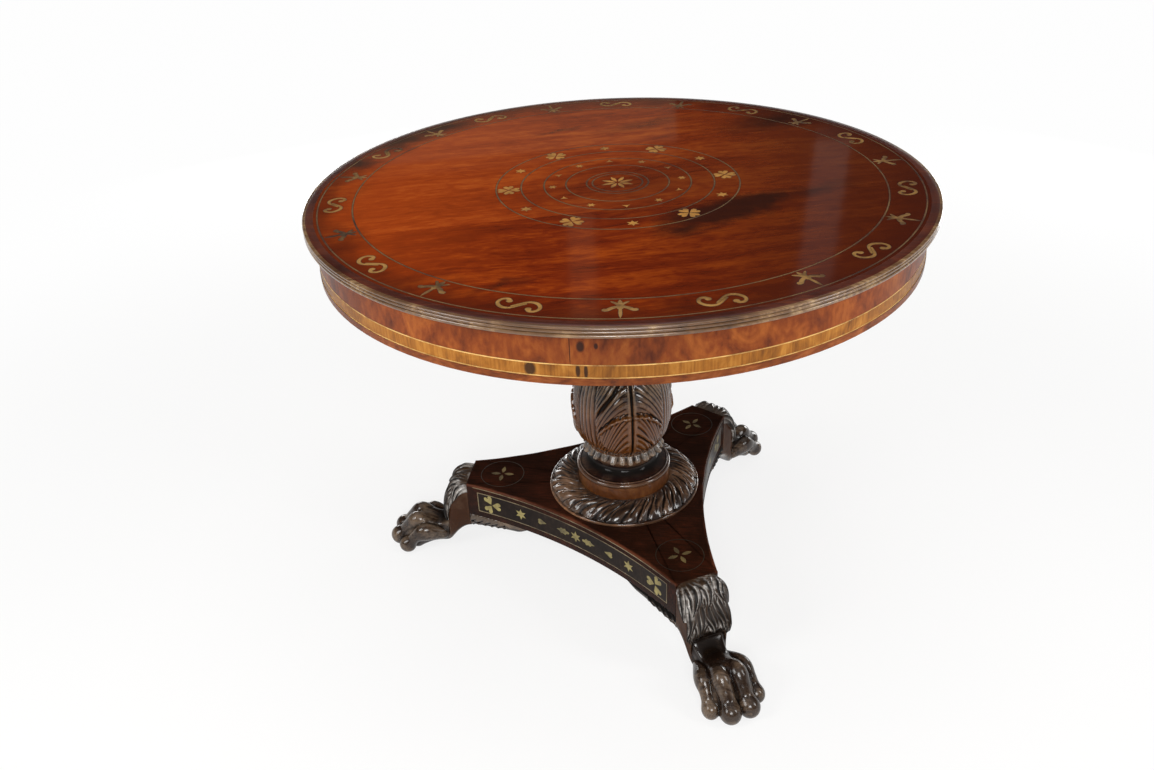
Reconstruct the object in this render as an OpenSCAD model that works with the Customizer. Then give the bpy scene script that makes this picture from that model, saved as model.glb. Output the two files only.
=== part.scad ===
// Round centre table with a tilting top: brass inlaid top and frieze, carved vase stem on a
// gadrooned ring, three-cornered platform and three carved legs that end in paw feet.
// Origin: on the floor under the stem's axis. +Z is up. The legs point to 180, 300 and 60 degrees.

/* [Top] */
// Height of the top's upper face above the floor
table_h = 740; // [725:1:760]
// Radius of the top over its reeded edge
top_r = 480; // [476:1:486]
// Thickness of the core board
board_t = 21.5; // [18:0.5:26]
// Thickness of the veneer on the top
veneer_t = 2.5; // [2:0.1:3.5]
// Height of the reeded edge moulding
edge_h = 16; // [14:0.5:18]
// Width of the edge moulding, from the veneer to its reeds
edge_w = 16.5; // [14:0.5:20]
// Number of reeds on the edge
reed_count = 3; // [2:1:4]
// Distance of the veneer's joint in front of the centre
seam_off = 111; // [100:1:125]
// Direction of the veneer's joint
seam_turn = 17.9; // [10:0.1:24]

/* [Frieze] */
// Height of the hoop under the board
hoop_h = 62; // [54:1:66]
// Thickness of the hoop's core
hoop_t = 19.5; // [16:0.5:24]
// Thickness of the frieze veneers
frieze_t = 2.5; // [2:0.1:3]
// Height of the dark band along the lower edge
low_band_h = 9.7; // [8:0.1:12]
// Height of the pale crossbanded strip
cross_band_h = 15.9; // [12:0.1:18]
// Height of a brass line in the frieze
frieze_line_h = 1.4; // [1:0.1:2]
// Number of glue blocks inside the hoop
glue_block_count = 12; // [8:1:16]

/* [Inlay] */
// Thickness of the brass inlay
inlay_t = 1.2; // [0.8:0.1:1.6]
// Width of a brass line in the top
line_w = 1.5; // [1:0.1:2]
// Turn of the whole pattern about the stem
pattern_turn = 6.83; // [0:0.01:14]
// Distance of the border's outer line from the edge moulding
border_margin = 5.5; // [4:0.5:10]
// Width of the border between its two lines
border_w = 52; // [48:1:56]
// Number of border figures of each kind
border_count = 11; // [9:1:12]
// Radius of the medallion's outer line
medallion_r = 188; // [186:1:192]
// Radius of the flower at the centre
flower_r = 26; // [22:1:30]

/* [Tilting] */
// Width of the block on the stem
block_w = 260; // [240:1:280]
// Length of the block from its round nose to its back
block_l = 310; // [300:1:320]
// Distance of the pivots in front of the stem's axis
pivot_off = 140; // [138:1:146]
// Distance of the pivots below the board
pivot_drop = 20; // [18:0.5:22]
// Radius of a pivot pin
pivot_r = 5; // [4:0.5:6]
// Radial clearance of a pivot pin in its bearer
pivot_fit = 0.08; // [0.05:0.01:0.1]
// Width of a bearer
bearer_w = 34; // [28:1:40]
// Depth of a bearer below the board
bearer_h = 36; // [32:1:40]
// Room between a bearer's ends and the glue blocks
bearer_room = 5; // [4:1:30]
// Running gap round the block
block_gap = 0.3; // [0.2:0.05:0.5]
// Radius of the catch's sliding bolt
bolt_r = 4; // [3:0.5:4.5]
// Travel of the sliding bolt
bolt_travel = 14; // [10:1:16]

/* [Stem] */
// Radius of the pale drum on the platform
drum_r = 82.5; // [78:0.5:86]
// Height of the drum
drum_h = 41.5; // [36:0.5:46]
// Radius of the torus on the drum
torus_r = 84.5; // [82:0.5:88]
// Height of the torus
torus_h = 9; // [7:0.5:11]
// Radius of the polished swell under the leaf collar
swell_r = 63.5; // [60:0.5:66]
// Height of the leaf collar's lower edge above the platform
collar_lift = 83; // [81:0.5:85]
// Height of the leaf collar
collar_h = 15; // [13:0.5:17]
// Outer radius of the leaf collar
collar_r = 66.5; // [65:0.5:69]
// Number of leaves on the collar
collar_leaves = 20; // [16:1:24]
// Height of the carved vase
vase_h = 208; // [200:1:214]
// Largest radius of the carved vase
vase_r = 85.8; // [84:0.1:88]
// Number of large leaves round the vase
vase_leaves = 3; // [3:1:5]
// Direction of the first leaf of the vase
vase_turn = 48; // [0:1:60]
// Radius of the neck above the vase
neck_r = 35; // [32:1:38]
// Radius of the stem's tenons
tenon_r = 24; // [20:1:28]

/* [Gadroon ring] */
// Outer radius of the gadrooned ring
ring_r = 135.5; // [132:0.5:138]
// Height of the gadrooned ring
ring_h = 22; // [18:0.5:26]
// Number of gadroons
gadroon_count = 32; // [28:1:34]
// Slant of the gadroons across the ring
gadroon_slant = 20; // [10:1:30]

/* [Platform] */
// Height of the platform's upper face above the floor
platform_top = 167.5; // [160:0.5:175]
// Thickness of the platform
platform_t = 70; // [64:1:74]
// Radius at which the platform's corners are cut off
corner_r = 290; // [286:1:296]
// Least distance of a hollow side from the axis
side_near = 146; // [144:1:149]
// Radius of the hollow sides
side_arc_r = 858; // [840:1:870]
// Half length of the side panels
panel_half = 211.5; // [200:0.5:216]
// Height of the side panels
panel_h = 43; // [38:1:46]
// Distance of the panels below the upper face
panel_drop = 14; // [12:0.5:16]
// Thickness of the side panels
panel_t = 2.4; // [2:0.1:3]
// Radius on which the corner medallions stand
medal_pos = 228.8; // [224:0.1:232]
// Radius of a corner medallion
medal_r = 40; // [36:0.5:42]

/* [Legs] */
// Reach of the feet from the axis
foot_r = 459; // [450:1:464]
// Half width of a leg at the platform
leg_half = 38; // [36:0.5:38]
// Half width of a paw
paw_half = 52; // [46:1:54]
// Depth of the furrows between the toes
toe_depth = 9; // [6:0.5:11]
// Radius of a leg's dowels
dowel_r = 5; // [4:0.5:6]
// Length of a leaf bracket under the platform
bracket_l = 124; // [110:1:130]
// Depth of a leaf bracket at the leg
bracket_h = 31; // [26:1:34]
// Thickness of a leaf bracket
bracket_t = 24; // [18:1:28]

/* [Hidden] */
$fn = 96;
leg_angles = [180, 300, 60];
side_angles = [0, 120, 240];
glue = 0.15;            // radial room for glue round a tenon or dowel
bearer_gap = 0.5;       // running gap between the block and a bearer
hoop_r = top_r - edge_w;
board_z = table_h - veneer_t - board_t;
hoop_z = board_z - hoop_h;
hoop_in_r = hoop_r - hoop_t;
edge_z = table_h - edge_h;
line_1_z = hoop_z + low_band_h;
cross_z = line_1_z + frieze_line_h;
line_2_z = cross_z + cross_band_h;
main_z = line_2_z + frieze_line_h;
block_t = 2 * (pivot_drop - block_gap);
pivot_z = board_z - pivot_drop;
block_z = pivot_z - block_t / 2;
nose_y = -pivot_off - block_t / 2;
block_back = nose_y + block_l;
bearer_x = block_w / 2 + bearer_gap;
glue_block_d = 16;      // how far a glue block stands in from the hoop
bearer_half = sqrt(pow(hoop_in_r - glue_block_d - bearer_room, 2) - pow(bearer_x + bearer_w, 2));
bearer_end = 60;        // length of a bearer's tapered end
pin_in = 40;            // length of a pivot pin inside the block
drum_z = platform_top;
foot_z = drum_z + drum_h;
collar_z = platform_top + collar_lift;
vase_z = collar_z + collar_h;
neck_z = vase_z + vase_h;
spigot_l = 30;          // length of the joints between the stem's pieces
spigot_r = tenon_r - 6;
ring_in_r = drum_r + 0.3;
platform_z = platform_top - platform_t;
arc_off = side_near + side_arc_r;
panel_z = platform_top - panel_drop - panel_h;
trefoil_scale = (panel_h - 2 * line_w - 2) / 33;    // the side's trefoils fill the panel inside its frame
rim_line_z = platform_top - 5.5;
leg_reach = foot_r - corner_r;
border_step = 360 / border_count;
border_out_r = hoop_r - border_margin;
border_in_r = border_out_r - border_w;
figure_scale = border_w / 52;   // the border's figures fill the space between its lines
figure_mid = 27;        // height of a border figure's middle above the inner line
border_mid_r = border_in_r + figure_mid * figure_scale;
medallion_radii = [medallion_r, 149.5, 114, 80, 48, 39];
rosette_ring_r = (medallion_radii[0] + medallion_radii[1]) / 2;
star_ring_r = medallion_radii[2] - 13;
slope_end = 0.5;        // rise left at the thin end of a leaf bracket

// Point on a smooth curve through the points of a list, at place s from 0 to the last index
function smooth_at(p, s) =
    let (
        last = len(p) - 1,
        i = min(floor(s), last - 1),
        t = s - i,
        a = p[max(i - 1, 0)],
        b = p[i],
        c = p[i + 1],
        d = p[min(i + 2, last)]
    )
    b + 0.5 * t * ((c - a) + t * ((2 * a - 5 * b + 4 * c - d) + t * (3 * (b - c) + d - a)));

// Smooth rise from 0 to 1 between the values a and b
function rise(x, a, b) = let (t = max(0, min(1, (x - a) / (b - a)))) t * t * (3 - 2 * t);

function signed_power(x, e) = sign(x) * pow(abs(x), e);

// Faces of a grid of points that closes on itself along each row, capped at both ends
function tube_faces(rows, cols) = concat(
    [[for (j = [0:cols - 1]) j]],
    [for (i = [0:rows - 2], j = [0:cols - 1])
        [i * cols + j, (i + 1) * cols + j, (i + 1) * cols + (j + 1) % cols]],
    [for (i = [0:rows - 2], j = [0:cols - 1])
        [i * cols + j, (i + 1) * cols + (j + 1) % cols, i * cols + (j + 1) % cols]],
    [[for (j = [cols - 1:-1:0]) (rows - 1) * cols + j]]
);

// Faces of a ring of closed profiles that joins up with its own start
function ring_faces(rows, cols) = concat(
    [for (i = [0:rows - 1], j = [0:cols - 1])
        [i * cols + j, i * cols + (j + 1) % cols, ((i + 1) % rows) * cols + (j + 1) % cols]],
    [for (i = [0:rows - 1], j = [0:cols - 1])
        [i * cols + j, ((i + 1) % rows) * cols + (j + 1) % cols, ((i + 1) % rows) * cols + j]]
);

// Outline of a stroke of changing width along a smooth path
function stroke(path, widths, n) =
    let (
        last = len(path) - 1,
        at = [for (i = [0:n]) i * last / n],
        pts = [for (s = at) smooth_at(path, s)],
        side = [for (i = [0:n])
            let (d = pts[min(i + 1, n)] - pts[max(i - 1, 0)])
            [-d[1], d[0]] / norm(d) * smooth_at(widths, at[i]) / 2]
    )
    concat([for (i = [0:n]) pts[i] + side[i]], [for (i = [n:-1:0]) pts[i] - side[i]]);

module pipe(r_out, r_in, h) {
    difference() {
        cylinder(r = r_out, h = h);
        translate([0, 0, -1]) cylinder(r = r_in, h = h + 2);
    }
}

// A thin ring let into the upper face at height z
module line_ring(r, z) {
    translate([0, 0, z - inlay_t]) pipe(r + line_w / 2, r - line_w / 2, inlay_t);
}

// Puts a flat figure at radius r in direction a, its own +Y pointing outwards, let in from height z
module let_in(r, a, z) {
    rotate([0, 0, a - 90]) translate([0, r, z - inlay_t]) linear_extrude(height = inlay_t) children();
}

// Figures of the inlay

module star_shape(points, r, r_in) {
    polygon([for (i = [0:2 * points - 1])
        (i % 2 == 0 ? r : r_in) * [sin(i * 180 / points), cos(i * 180 / points)]]);
}

// Half of a heart, as a list of points from its tip to its notch
function heart_half(s) = concat(
    [[0, 1.2]],
    [for (a = [-25:25:180]) [4.1 + 3.6 * cos(a), 12.4 + 4.4 * sin(a)]]
) * s;

module heart_shape(s) {
    half = heart_half(s);
    polygon(concat(half, [for (i = [len(half) - 1:-1:1]) [-half[i][0], half[i][1]]]));
}

module rosette_shape() {
    for (a = [0:90:270]) rotate(a) heart_shape(1);
}

// The border's flower: a spear that points outwards, two curled arms and three leaves
module fleur_shape() {
    half = [[0, 23.5], [1.6, 17.5], [2.2, 10], [1.8, 1], [4.4, -3], [8.6, -0.4], [12, 2.8], [15.2, 5.2],
        [18.6, 5.6], [21.4, 3.8], [21.8, 0.6], [19.4, -1.4], [16.6, -1], [14.2, -3.4], [10, -6.4],
        [5, -8.4], [3.4, -9.8], [6.2, -13.6], [10.6, -18.4], [11.4, -21], [7.6, -19.6], [3, -15.6],
        [2.2, -20], [0, -25]];
    scale(figure_scale) polygon(concat(half, [for (i = [len(half) - 2:-1:1]) [-half[i][0], half[i][1]]]));
}

// One of the two strokes of the border's scroll, and the bulb that ends it
scroll_path = [[-13, -4.5], [-5.5, 2], [0.5, 7.4], [7, 10.6], [14, 10], [20, 5.6], [23.6, -1.4],
    [22.4, -8.4], [17.6, -12.6], [12.2, -11.4], [10.4, -7.4]];
scroll_widths = [2.4, 3.2, 3.4, 4.2, 5, 4.8, 4.4, 4.2, 4.4, 5.4, 4];
scroll_centre = [-4.5, 0.5];
bulb_r = 3.9;
module scroll_half() {
    scale(figure_scale) {
        polygon(stroke([for (q = scroll_path) q - scroll_centre], scroll_widths, 26));
        translate(scroll_path[10] - scroll_centre) circle(r = bulb_r, $fn = 24);
    }
}

// Narrow petal along +Y, pointed at both ends
module petal_shape(r0, r1, w) {
    steps = 4;
    polygon(concat(
        [for (i = [0:steps]) [w / 2 * sin(i * 180 / steps), r0 + (r1 - r0) * i / steps]],
        [for (i = [steps - 1:-1:1]) [-w / 2 * sin(i * 180 / steps), r0 + (r1 - r0) * i / steps]]));
}

module drop_shape() {
    polygon([[0, 11], [3.2, 4], [6, -2], [6, -5.4], [3, -7.6], [0, -6.2], [-3, -7.6], [-6, -5.4],
        [-6, -2], [-3.2, 4]]);
}

module leaf_shape() {
    polygon([[0, 15], [2.6, 8], [6.4, 4.6], [5, 0.6], [7, -4.4], [3.4, -6.8], [2.4, -11.6], [0, -14],
        [-2.4, -11.6], [-3.4, -6.8], [-7, -4.4], [-5, 0.6], [-6.4, 4.6], [-2.6, 8]]);
}

module trefoil_shape() {
    for (a = [0, 120, 240]) rotate(a) heart_shape(trefoil_scale);
}

// Top

module border_scroll_set() {
    for (i = [0:border_count - 1], half = [0, 180])
        let_in(border_mid_r, pattern_turn + 270 + (i + 0.5) * border_step, table_h)
            rotate(half) scroll_half();
}

module border_fleur_set() {
    for (i = [0:border_count - 1])
        let_in(border_mid_r, pattern_turn + 270 + i * border_step, table_h) fleur_shape();
}

module border_line_set() {
    for (r = [border_out_r, border_in_r]) line_ring(r, table_h);
}

module medallion_line_set() {
    for (r = medallion_radii) line_ring(r, table_h);
}

module rosette_set() {
    for (a = [0:60:300]) let_in(rosette_ring_r, pattern_turn + 7 + a, table_h) rosette_shape();
}

module star_set() {
    for (a = [0:60:300]) {
        let_in(rosette_ring_r, pattern_turn + 37 + a, table_h) star_shape(6, 9.5, 4.6);
        let_in(star_ring_r, pattern_turn + 7 + a, table_h) star_shape(6, 7, 3.3);
    }
}

module trefoil_set() {
    for (a = [0:60:300]) let_in(star_ring_r, pattern_turn + 37 + a, table_h) star_shape(3, 7, 2);
}

module flower_set() {
    for (a = [0:45:315]) let_in(0, pattern_turn + 22.5 + a, table_h) petal_shape(3.2, flower_r, 6.6);
}

// Half plane in front of the veneer's joint
module front_side() {
    rotate([0, 0, seam_turn]) translate([-top_r, -2 * top_r - seam_off, 0])
        cube([2 * top_r, 2 * top_r, table_h + 1]);
}

module veneer_sheet() {
    difference() {
        translate([0, 0, table_h - veneer_t]) cylinder(r = hoop_r, h = veneer_t);
        border_scroll_set();
        border_fleur_set();
        border_line_set();
        medallion_line_set();
        rosette_set();
        star_set();
        trefoil_set();
        flower_set();
    }
}

module veneer_front() {
    color("saddlebrown") intersection() {
        veneer_sheet();
        front_side();
    }
}

module veneer_back() {
    color("sienna") difference() {
        veneer_sheet();
        front_side();
    }
}

screw_ys = [bearer_end - bearer_half, -200, 60, bearer_half - bearer_end];
screw_r = 2.4;
screw_in = 12;
screw_head_r = 4.6;
screw_head_h = 3;
module screw_places() {
    for (x = [-1, 1], y = screw_ys) translate([x * (bearer_x + bearer_w / 2), y, 0]) children();
}

module top_board() {
    color("peru") difference() {
        translate([0, 0, board_z]) cylinder(r = hoop_r, h = board_t);
        screw_places() translate([0, 0, board_z - 1])
            cylinder(r = screw_r + glue, h = screw_in + 1.5, $fn = 24);
    }
}

module edge_moulding() {
    reed = edge_h / reed_count / 2;
    color("rosybrown") rotate_extrude() union() {
        translate([hoop_r, edge_z]) square([edge_w - reed, edge_h]);
        for (i = [0:reed_count - 1]) translate([top_r - reed, edge_z + reed * (2 * i + 1)])
            circle(r = reed, $fn = 32);
    }
}

module apron_hoop() {
    color("burlywood") translate([0, 0, hoop_z]) pipe(hoop_r, hoop_in_r, hoop_h);
}

module frieze_band(z0, z1, stand) {
    translate([0, 0, z0]) pipe(hoop_r + stand, hoop_r, z1 - z0);
}

module frieze_veneer() { color("chocolate") frieze_band(main_z, edge_z, frieze_t); }
module frieze_crossband() { color("goldenrod") frieze_band(cross_z, line_2_z, frieze_t); }
module frieze_low_band() { color("brown") frieze_band(hoop_z, line_1_z, frieze_t + 0.8); }
module frieze_lines() {
    color("gold") {
        frieze_band(line_1_z, cross_z, frieze_t + 0.2);
        frieze_band(line_2_z, main_z, frieze_t + 0.2);
    }
}

module border_lines() { color("gold") border_line_set(); }
module border_scrolls() {
    color("gold") for (i = [0:border_count - 1])
        let_in(border_mid_r, pattern_turn + 270 + (i + 0.5) * border_step, table_h) union() {
            for (half = [0, 180]) rotate(half) scroll_half();
        }
}
module border_fleurs() { color("gold") border_fleur_set(); }
module medallion_lines() { color("gold") medallion_line_set(); }
module medallion_rosettes() { color("gold") rosette_set(); }
module medallion_stars() { color("gold") star_set(); }
module medallion_trefoils() { color("gold") trefoil_set(); }
module centre_flower() { color("gold") flower_set(); }

glue_block_l = 40;
glue_block_h = 30;
module glue_blocks() {
    color("tan") intersection() {
        translate([0, 0, board_z - glue_block_h]) pipe(hoop_in_r, hoop_in_r - glue_block_d, glue_block_h);
        for (i = [0:glue_block_count - 1]) rotate([0, 0, (i + 0.5) * 360 / glue_block_count])
            translate([hoop_in_r / 2, -glue_block_l / 2, board_z - glue_block_h])
                cube([hoop_in_r, glue_block_l, glue_block_h]);
    }
}

// Tilting gear

bearer_tip = 14;        // depth left at a bearer's tip
module bearer(side) {
    x0 = side > 0 ? bearer_x : -bearer_x - bearer_w;
    difference() {
        translate([x0, 0, board_z]) rotate([90, 0, 90]) linear_extrude(height = bearer_w)
            polygon([[-bearer_half, 0], [-bearer_half, -bearer_tip], [-bearer_half + bearer_end, -bearer_h],
                [bearer_half - bearer_end, -bearer_h], [bearer_half, -bearer_tip], [bearer_half, 0]]);
        translate([x0 - 1, -pivot_off, pivot_z]) rotate([0, 90, 0])
            cylinder(r = pivot_r + pivot_fit, h = bearer_w + 2);
        screw_places() translate([0, 0, board_z - bearer_h - 1]) {
            cylinder(r = screw_r + glue, h = bearer_h + 2, $fn = 24);
            cylinder(r = screw_head_r + glue, h = bearer_h / 2 + 1, $fn = 24);
        }
    }
}
module bearer_left() { color("tan") bearer(-1); }
module bearer_right() { color("tan") bearer(1); }

module bearer_screws() {
    color("dimgray") screw_places() translate([0, 0, board_z - bearer_h / 2 - screw_head_h]) {
        cylinder(r = screw_head_r, h = screw_head_h, $fn = 24);
        cylinder(r = screw_r, h = bearer_h / 2 + screw_head_h + screw_in, $fn = 24);
    }
}

keeper_w = 30;
keeper_h = 20;
keeper_t = 2;
bolt_fit = 0.5;
bolt_z = pivot_z + 5;
bolt_hole = bolt_travel + 4;
wedge_w = 26;
wedge_t = 4;
wedge_tip = 0.8;
wedge_l = 28;
module tilt_block() {
    color("sienna") difference() {
        union() {
            translate([-block_w / 2, -pivot_off, block_z]) cube([block_w, block_l - block_t / 2, block_t]);
            translate([-block_w / 2, -pivot_off, pivot_z]) rotate([0, 90, 0])
                cylinder(r = block_t / 2, h = block_w);
        }
        for (x = [-1, 1]) translate([x * (block_w / 2 - pin_in / 2 + 1), -pivot_off, pivot_z])
            rotate([0, 90, 0]) cylinder(r = pivot_r, h = pin_in + 2, center = true);
        translate([0, 0, block_z - 1]) cylinder(r = tenon_r + glue, h = block_t + 2);
        translate([0, block_back + 1, bolt_z]) rotate([90, 0, 0])
            cylinder(r = bolt_r + bolt_fit, h = bolt_hole + 1);
        translate([-keeper_w / 2, block_back - keeper_t, bolt_z - keeper_h / 2])
            cube([keeper_w, keeper_t + 1, keeper_h]);
    }
}

module pivot_pins() {
    color("silver") for (x = [-1, 1]) translate([x * (block_w / 2 - pin_in), -pivot_off, pivot_z])
        rotate([0, x * 90, 0]) cylinder(r = pivot_r, h = pin_in + bearer_gap + bearer_w);
}

module catch_keeper() {
    color("gold") difference() {
        translate([-keeper_w / 2, block_back - keeper_t, bolt_z - keeper_h / 2])
            cube([keeper_w, keeper_t, keeper_h]);
        translate([0, block_back + 1, bolt_z]) rotate([90, 0, 0])
            cylinder(r = bolt_r + bolt_fit, h = keeper_t + 2);
    }
}

bolt_gap = 3;           // distance of the drawn bolt's nose from the block
staple_t = 5;
staple_w = 20;
knob_r = 3.6;
knob_l = 13;
plate_w = 42;
plate_t = 2.5;
staple_front = block_back + 8;
staple_back = staple_front + staple_t + bolt_travel + 2 * knob_r + 1;
plate_l = staple_back + staple_t - staple_front + 10;
bolt_l = staple_back + staple_t + 6 - block_back - bolt_gap;
staple_drop = board_z - plate_t - bolt_z + bolt_r + 3;
module catch_plate() {
    color("gold") difference() {
        union() {
            translate([-plate_w / 2, staple_front - 5, board_z - plate_t]) cube([plate_w, plate_l, plate_t]);
            for (y = [staple_front, staple_back])
                translate([-staple_w / 2, y, board_z - plate_t - staple_drop])
                    cube([staple_w, staple_t, staple_drop + 0.5]);
        }
        translate([0, staple_back + staple_t + 1, bolt_z]) rotate([90, 0, 0])
            cylinder(r = bolt_r + pivot_fit, h = staple_back + staple_t + 2 - staple_front);
    }
}

module catch_bolt() {
    color("goldenrod") translate([0, block_back + bolt_gap, bolt_z]) {
        rotate([-90, 0, 0]) cylinder(r = bolt_r, h = bolt_l);
        translate([0, staple_back - block_back - bolt_gap - knob_r - 0.5, -bolt_r - knob_l + 4]) {
            cylinder(r = knob_r - 1, h = knob_l);
            sphere(r = knob_r);
        }
    }
}

// Wedge that spreads a tenon, seen along the tenon's slot
module tenon_slot(z, up, room) {
    w = wedge_w + 2 * room;
    thick = wedge_t / 2 + room;
    thin = wedge_tip / 2 + room;
    translate([-w / 2, 0, z]) rotate([90, 0, 90]) linear_extrude(height = w)
        polygon([[-thick, 0], [thick, 0], [thin, -up * wedge_l], [-thin, -up * wedge_l]]);
}

module block_wedge() { color("tan") tenon_slot(block_z + block_t - 1, 1, 0); }
module foot_wedge() { color("tan") tenon_slot(platform_z + 2, -1, 0); }

// Stem

astragal_r = 6;
flare = 13;             // how much wider the column is under its cap
cap_bead_r = 7;
cap_h = 22;
cap_out = 30;           // how far the cap's plate stands out from the neck
module stem_neck() {
    column_z = neck_z + 22;
    cap_z = block_z - cap_h;
    plate_z = cap_z + 2 * cap_bead_r + 2;
    color("saddlebrown") difference() {
        union() {
            translate([0, 0, neck_z - spigot_l]) cylinder(r = spigot_r, h = spigot_l + 1);
            rotate_extrude() polygon(concat(
                [[0, neck_z], [neck_r + astragal_r, neck_z], [neck_r + astragal_r, neck_z + 5]],
                [for (a = [-60:30:60])
                    [neck_r + 1 + astragal_r * cos(a), neck_z + 5 + astragal_r * (1 + sin(a))]],
                [[neck_r, column_z]],
                [for (i = [1:6]) [neck_r + flare * pow(i / 6, 1.7), column_z + (cap_z - column_z) * i / 6]],
                [for (a = [-75:25:75])
                    [neck_r + flare + 2 + cap_bead_r * cos(a), cap_z + 1 + cap_bead_r * (1 + sin(a))]],
                [[neck_r + cap_out, plate_z], [neck_r + cap_out, block_z], [0, block_z]]));
            translate([0, 0, block_z - 1]) cylinder(r = tenon_r, h = block_t + 1);
        }
        tenon_slot(block_z + block_t - 1, 1, 0.1);
        translate([0, 0, block_z + block_t - 1]) cylinder(r = tenon_r + 1, h = 2);
    }
}

// Carved vase: radius of the plain form at height h from 0 to 1
vase_form = [0.83, 0.93, 0.98, 1, 1.003, 0.992, 0.965, 0.9, 0.79, 0.64, 0.53, 0.47];
function vase_plain(h) = vase_r * smooth_at(vase_form, h * (len(vase_form) - 1));

leaf_depth = 3.2;       // fluted ground between two large leaves
vein_depth = 4;
lobe_depth = 2;
low_leaf_depth = 2.2;   // small leaf in front of each large one
// Relief of the leaves: f is the place across one leaf and its share of ground, from -1 to 1.
// The lobes fall away from the vein on both sides
function vase_relief(f, h) =
    let (
        edge = 0.75 - 0.68 * rise(h, 0.68, 1),
        leaf = 1 - rise(abs(f), edge - 0.1, edge),
        vein = exp(-pow(f / 0.05, 2)),
        lobes = abs(sin(180 * 6 * (h + 0.485 * f * f))),
        low_edge = 0.68 * pow(max(0, 1 - pow(h / 0.46, 2.4)), 0.42),
        low = h < 0.46 ? 1 - rise(abs(f), low_edge - 0.1, low_edge) : 0
    )
    leaf_depth * (leaf - 1) - vein_depth * vein - lobe_depth * (1 - lobes) * leaf * (1 - low)
        + low_leaf_depth * low;

module vase() {
    rows = 19;
    cols = 72;
    per = 360 / vase_leaves;
    pts = [for (i = [0:rows - 1], j = [0:cols - 1])
        let (
            h = i / (rows - 1),
            a = j * 360 / cols,
            f = (a / per - floor(a / per)) * 2 - 1,
            ends = rise(h, 0, 0.06) * (1 - rise(h, 0.9, 1)),
            r = vase_plain(h) + ends * vase_relief(f, h),
            b = a + vase_turn - per / 2
        )
        [r * cos(b), r * sin(b), vase_z + h * vase_h]];
    color("saddlebrown") difference() {
        polyhedron(points = pts, faces = tube_faces(rows, cols), convexity = 4);
        for (z = [vase_z - 1, neck_z - spigot_l - 0.5])
            translate([0, 0, z]) cylinder(r = spigot_r + glue, h = spigot_l + 1.5);
    }
}

collar_gap = 0.25;
notch = 2.5;            // notches between the leaves along the collar's lower edge
module leaf_collar() {
    rows = collar_leaves * 5;
    profile = [[0, 0], [0.7, 0.05], [1, 0.45], [0.75, 0.9], [0, 1]];
    pts = [for (i = [0:rows - 1], q = profile)
        let (
            a = i * 360 / rows,
            lobe = abs(sin(a * collar_leaves / 2)),
            out = q[0] * (collar_r - swell_r) * (0.45 + 0.75 * lobe),
            r = swell_r + collar_gap + out,
            up = q[1] < 0.2 ? notch * (1 - lobe) : 0
        )
        [r * cos(a), r * sin(a), collar_z + q[1] * collar_h + up]];
    color("saddlebrown") polyhedron(points = pts, faces = ring_faces(rows, len(profile)), convexity = 4);
}

dish_r = torus_r - 7;
dish_in_r = swell_r - 7;
dish_h = 7;
fillet_h = 2;
module stem_foot() {
    torus_in_r = torus_r - torus_h / 2;
    fillet_z = foot_z + torus_h;
    dish_z = fillet_z + fillet_h;
    swell_z = dish_z + dish_h;
    swell_h = collar_z - swell_z;
    color("saddlebrown") difference() {
        union() {
            rotate_extrude() union() {
                polygon(concat(
                    [[0, foot_z], [torus_in_r, foot_z], [torus_in_r, fillet_z], [dish_r + 2, fillet_z],
                        [dish_r + 2, dish_z]],
                    [for (i = [0:5])
                        [dish_in_r + (dish_r - dish_in_r) * pow(1 - i / 5, 2.2), dish_z + dish_h * i / 5]],
                    [for (a = [15:15:90])
                        [dish_in_r + (swell_r - dish_in_r) * sin(a), swell_z + swell_h * a / 90]],
                    [[swell_r, vase_z], [0, vase_z]]));
                translate([torus_in_r, foot_z + torus_h / 2]) circle(r = torus_h / 2, $fn = 32);
            }
            translate([0, 0, vase_z - 1]) cylinder(r = spigot_r, h = spigot_l);
            translate([0, 0, platform_z + 2]) cylinder(r = tenon_r, h = foot_z - platform_z);
        }
        tenon_slot(platform_z + 2, -1, 0.1);
    }
}

module drum() {
    color("peru") translate([0, 0, drum_z]) pipe(drum_r, tenon_r + glue, drum_h);
}

// Gadrooned ring: a domed ring of slanted lobes with a thin bead round its foot
ring_profile = [[0, 0], [0, 0.84], [0.2, 1], [0.46, 0.98], [0.7, 0.78], [0.86, 0.5], [0.93, 0.26],
    [1, 0.2], [1, 0]];
gadroon_depth = 4.2;
module gadroon_ring() {
    rows = gadroon_count * 5;
    pts = [for (i = [0:rows - 1], q = ring_profile)
        let (
            a = i * 360 / rows,
            lobe = abs(sin((a + gadroon_slant * q[0]) * gadroon_count / 2)),
            carved = q[1] > 0.22 && q[0] > 0.1 ? 1 : 0,
            r = ring_in_r + (ring_r - ring_in_r) * q[0],
            z = platform_top + ring_h * q[1] - carved * gadroon_depth * (1 - lobe)
        )
        [r * cos(a), r * sin(a), z]];
    color("saddlebrown") polyhedron(points = pts, faces = ring_faces(rows, len(ring_profile)), convexity = 6);
}

// Platform

// Cylinder of radius r about the centre of the hollow side that faces direction a
module side_cylinder(a, r, z, h) {
    rotate([0, 0, a]) translate([arc_off, 0, z]) cylinder(r = r, h = h, $fn = 240);
}

corner_half = 80;       // half width of a corner before the hollow sides cut it
module platform_body(inset) {
    difference() {
        translate([0, 0, platform_z]) linear_extrude(height = platform_t)
            polygon([for (a = leg_angles, s = [-1, 1])
                corner_r * [cos(a), sin(a)] + s * corner_half * [-sin(a), cos(a)]]);
        for (a = side_angles) side_cylinder(a, side_arc_r + inset, platform_z - 1, platform_t + 2);
    }
}

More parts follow.
